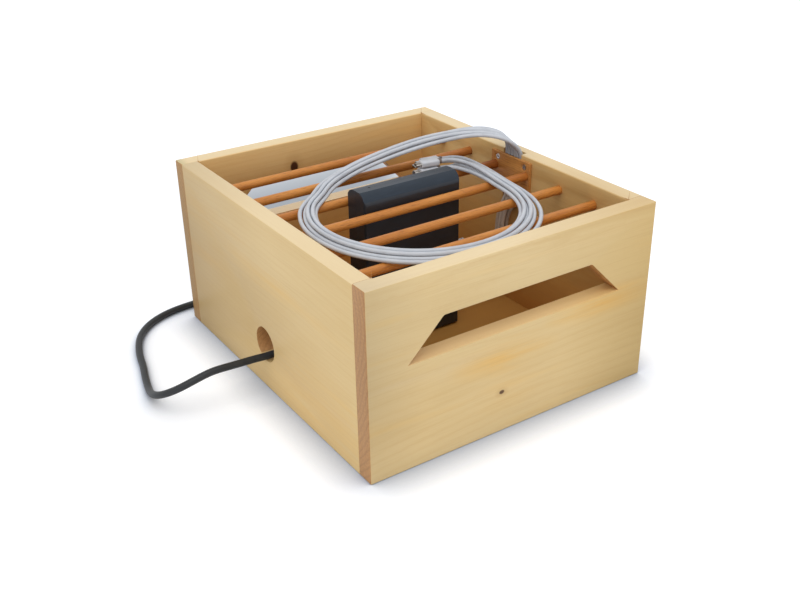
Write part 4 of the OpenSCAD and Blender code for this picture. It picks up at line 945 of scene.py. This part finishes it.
for node, mat, body, width in (
        ("front_panel", "front", "crate", 0.45), ("back_panel", "back", "crate", 0.45),
        ("left_panel", "left", "crate", 0.35), ("right_panel", "right", "crate", 0.35),
        ("bottom_board", "floor", "crate", 0.3), ("corner_pins", "pins", "crate", 0.0),
        ("lead_cover_plate", "plate", "crate", 0.35), ("cover_plate_screws", "screw", "crate", 0.08),
        ("charger_front_shell", "shell", "charger", 0.12), ("charger_rear_shell", "shell", "charger", 0.12),
        ("charger_circuit_board", "board", "charger", 0.1), ("charger_transformer", "copper", "charger", 0.4),
        ("charger_capacitors", "can", "charger", 0.25), ("charger_heat_sink", "sink", "charger", 0.12),
        ("charger_output_sockets", "tip", "charger", 0.05), ("charger_mains_inlet", "black", "charger", 0.2),
        ("charger_status_light", "light", "charger", 0.15),
        ("charger_shell_screws", "screw", "charger", 0.08), ("charger_feet", "foot", "charger", 0.25)):
    shade = SHELL_SHADE_ANGLE if mat == "shell" else SHADE_ANGLE
    piece = add(node + "_piece", finish_of(node, width, shade), LOOKS[mat], body)
    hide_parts(node)


ROD_R, ROD_EASE, ROD_STEPS, ROD_WEAR = 5.0, 0.6, 44, 0.04


def rod_mesh(x0, x1, y, z, seed):
    """A turned dowel: never quite even in thickness, with eased ends."""
    a0, a1 = np.random.default_rng(seed).uniform(0, 6.28, 2)
    step = (x1 - x0 - 2 * ROD_EASE) / ROD_STEPS
    xs = [x0] + [x0 + ROD_EASE + step * i for i in range(ROD_STEPS + 1)] + [x1]
    radii = []
    for x in xs:
        worn = ROD_WEAR * (1 + math.sin(x / 23 + a0) * math.sin(x / 9 + a1)) / 2
        radii.append(ROD_R - (ROD_EASE if x in (x0, x1) else 0.0) - worn)
    return loft(rings_along([(x, y, z) for x in xs], radii, 40), angle=30)


for i in range(1, 7):
    lo, hi = ([c / MM for c in corner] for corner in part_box(f"divider_rod_{i}"))
    form = rod_mesh(lo[0], hi[0], (lo[1] + hi[1]) / 2, (lo[2] + hi[2]) / 2, i)
    rod = add(f"dowel_{i}", form, LOOKS["rod"][i % 3], "crate")
    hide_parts(f"divider_rod_{i}")


# Mains connector, with X from the charger's left end, and the plugs at the charger

CONNECTOR_BACK = [(-28, 15, 20, 4), (-27.4, 17, 22.5, 4.2), (-26, 19, 25.5, 4.2), (-24, 20, 27, 4)]
CONNECTOR_GROOVES = [-20, -16.4, -12.8]
CONNECTOR_FRONT = [(-1, 20, 27, 4), (-0.3, 19.4, 26.4, 3.7), (-0.05, 18.6, 25.6, 3.3), (-0.05, 16, 23.6, 1.2),
                   (15.0, 16, 23.6, 1.2), (15.9, 15, 22.6, 1.0)]
CONNECTOR_BOOT_AT = -54
GAP_AT_SHELL = 0.4
CHARGER_PLUG = [(0, 0.7), (0.3, 0.25), (0.9, 0.0), (6.6, 0.0), (7.6, 0.2), (14.6, 0.2), (15.6, 0.0),
                (19, 0.0), (19.7, 0.4), (20, 1.0)]
CHARGER_PLUG_W, CHARGER_PLUG_H, CHARGER_TIP = 6.5, 10.5, 6.9

lo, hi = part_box("mains_connector")
height = (lo[2] + hi[2]) / 2 / MM
sections = list(CONNECTOR_BACK)
for x in CONNECTOR_GROOVES:
    sections += [(x, 20, 27, 4), (x + 0.4, 19.2, 26.2, 3.6), (x + 1.4, 19.2, 26.2, 3.6), (x + 1.8, 20, 27, 4)]
sections += CONNECTOR_FRONT
loops = [[(p[0] + SHELL_LEFT, p[1], p[2] + height) for p in oblong(*section)] for section in sections]
connector = add("mains_socket_body", loft(loops, angle=40), LOOKS["black"],
                "charger")
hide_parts("mains_connector")
boot_at = ((SHELL_LEFT + CONNECTOR_BOOT_AT) * MM, 0, height * MM)
form = placed(revolve(relief_profile(26, root=7.0, end=4.3, ribs=8), 40), boot_at)
boot = add("mains_socket_boot", form, LOOKS["black"], "charger")
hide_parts("mains_connector_relief")

for i in range(6):
    z, start = PORT_LOW + PORT_STEP * i, SHELL_RIGHT + GAP_AT_SHELL
    loops = []
    for x, cut in CHARGER_PLUG:
        w, h = CHARGER_PLUG_W - 2 * cut, CHARGER_PLUG_H - 2 * cut
        loop = oblong(start + x, w, h, max(2.0 - cut * 0.4, 0.7))
        loops.append([(p[0], p[1], p[2] + z) for p in loop])
    body = add(f"charger_plug_{i + 1}", loft(loops, angle=50), LOOKS["plug"], "charger")
    form = revolve(relief_profile(7.6, root=2.75, end=2.3, ribs=4), 28)
    form = placed(form, (BOOT_ROOT * MM, 0, z * MM), (-1, 0, 0))
    add(f"charger_plug_boot_{i + 1}", form, LOOKS["plug"], "charger")
    form = placed(tip_mesh(0, CHARGER_TIP), (start * MM, 0, z * MM), (-1, 0, 0), (0, 1, 0))
    add(f"charger_tip_{i + 1}", form, LOOKS["tip"], "charger")
    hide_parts("charger_end_plugs")


# Floor, light and world

FLOOR_PALE, FLOOR_PAINTED_CONTACT_SHADE, FLOOR_PAINTED_SHADOW = (0.83, 0.86, 0.91, 1), (0.52, 0.57, 0.67, 1), (0.39, 0.425, 0.47, 1)
FLOOR_GLOW = 0.3
# The painted shadow starts at the back wall. Going back, its edges lean to the right and soften, and it fades
# out.
BACK_WALL, SHADE_LEFT, SHADE_RIGHT = 0.205, -0.15, 0.16
LEAN_LEFT, LEAN_RIGHT = 0.42, 0.62
SOFT_AT_WALL, SOFTENING = 0.02, 0.2
FADE_FROM, FADE_TO, STARTS_BEFORE = 0.27, 0.56, -0.06
LIGHT_FROM_WORLD = 0.78


def seen_directly(tree):
    """1 for rays from the camera, off gloss or through something clear, else 0."""
    path = tree.nodes.new("ShaderNodeLightPath")
    value = path.outputs["Is Camera Ray"]
    for kind in ("Is Glossy Ray", "Is Transmission Ray"):
        larger = tree.nodes.new("ShaderNodeMath")
        larger.operation = "MAXIMUM"
        connect(tree, value, larger.inputs[0])
        connect(tree, path.outputs[kind], larger.inputs[1])
        value = larger.outputs[0]
    return value


def floor_material():
    """Pale and matt, with painted shade close to what stands on it and a painted shadow behind the crate."""
    k = Look("studio_floor", (0.86, 0.87, 0.89, 1), 0.9, Specular_IOR_Level=0.1)
    near_things = k.node("AmbientOcclusion", {"Distance": 0.05}, samples=16).outputs["AO"]
    close = k.ramp(near_things, [(0.5, 1.0), (0.97, 0.0)])
    at = k.split("Object")
    back = k.math("SUBTRACT", at[1], BACK_WALL)
    soft = k.math("ADD", k.times(k.math("MAXIMUM", back, 0.0), SOFTENING), SOFT_AT_WALL)
    left = k.math("SUBTRACT", k.math("SUBTRACT", at[0], k.times(back, LEAN_LEFT)), SHADE_LEFT)
    right = k.math("SUBTRACT", SHADE_RIGHT, k.math("SUBTRACT", at[0], k.times(back, LEAN_RIGHT)))
    shade = 1.0
    for value, none, full in ((k.math("DIVIDE", left, soft), -1.0, 1.0),
                              (k.math("DIVIDE", right, soft), -1.0, 1.0),
                              (back, FADE_TO, FADE_FROM), (back, STARTS_BEFORE, 0.0)):
        edge = k.node("MapRange", {"Value": value, "From Min": none, "From Max": full},
                      interpolation_type="SMOOTHSTEP").outputs[0]
        shade = k.times(edge, shade)
    lit = k.math("SUBTRACT", 1.0, k.math("MAXIMUM", close, shade))
    k.color(k.mix(shade, k.mix(close, FLOOR_PALE, FLOOR_PAINTED_CONTACT_SHADE), FLOOR_PAINTED_SHADOW))
    k.bump(k.noise(k.place, 60.0, 2.0), 0.0002, 0.1)
    glow = k.node("Emission", {"Color": (1, 1, 1, 1)})
    strength = k.times(seen_directly(k.tree), k.times(lit, FLOOR_GLOW))
    k.tree.links.new(strength, glow.inputs["Strength"])
    both = k.node("AddShader", {0: k.bsdf.outputs[0], 1: glow.outputs[0]})
    k.tree.links.new(both.outputs[0], k.tree.nodes["Material Output"].inputs["Surface"])
    return k.material


me = bpy.data.meshes.new("studio_floor")
me.from_pydata([(-15, -15, 0), (15, -15, 0), (15, 15, 0), (-15, 15, 0)], [], [(0, 1, 2, 3)])
me.materials.append(floor_material())
floor = new_object("studio_floor", me)


# One broad lamp from the left front, above
key = bpy.data.lights.new("key", "SUN")
key.energy = 0.9
key.angle = math.radians(60)
lamp = new_object("key", key)
lamp.rotation_euler = Vector((-0.38, -0.42, 1.0)).to_track_quat("Z", "Y").to_euler()

# The world is white where it is seen, and gives a little less light than that
world = bpy.data.worlds.new("studio")
bpy.context.scene.world = world
world.use_nodes = True
tree = world.node_tree
background = tree.nodes["Background"]
background.inputs["Color"].default_value = (1, 1, 1, 1)
level = tree.nodes.new("ShaderNodeMapRange")
connect(tree, seen_directly(tree), level.inputs["Value"])
connect(tree, LIGHT_FROM_WORLD, level.inputs["To Min"])
connect(tree, level.outputs[0], background.inputs["Strength"])

bpy.context.scene.view_settings.view_transform = "Standard"

bpy.context.view_layer.update()
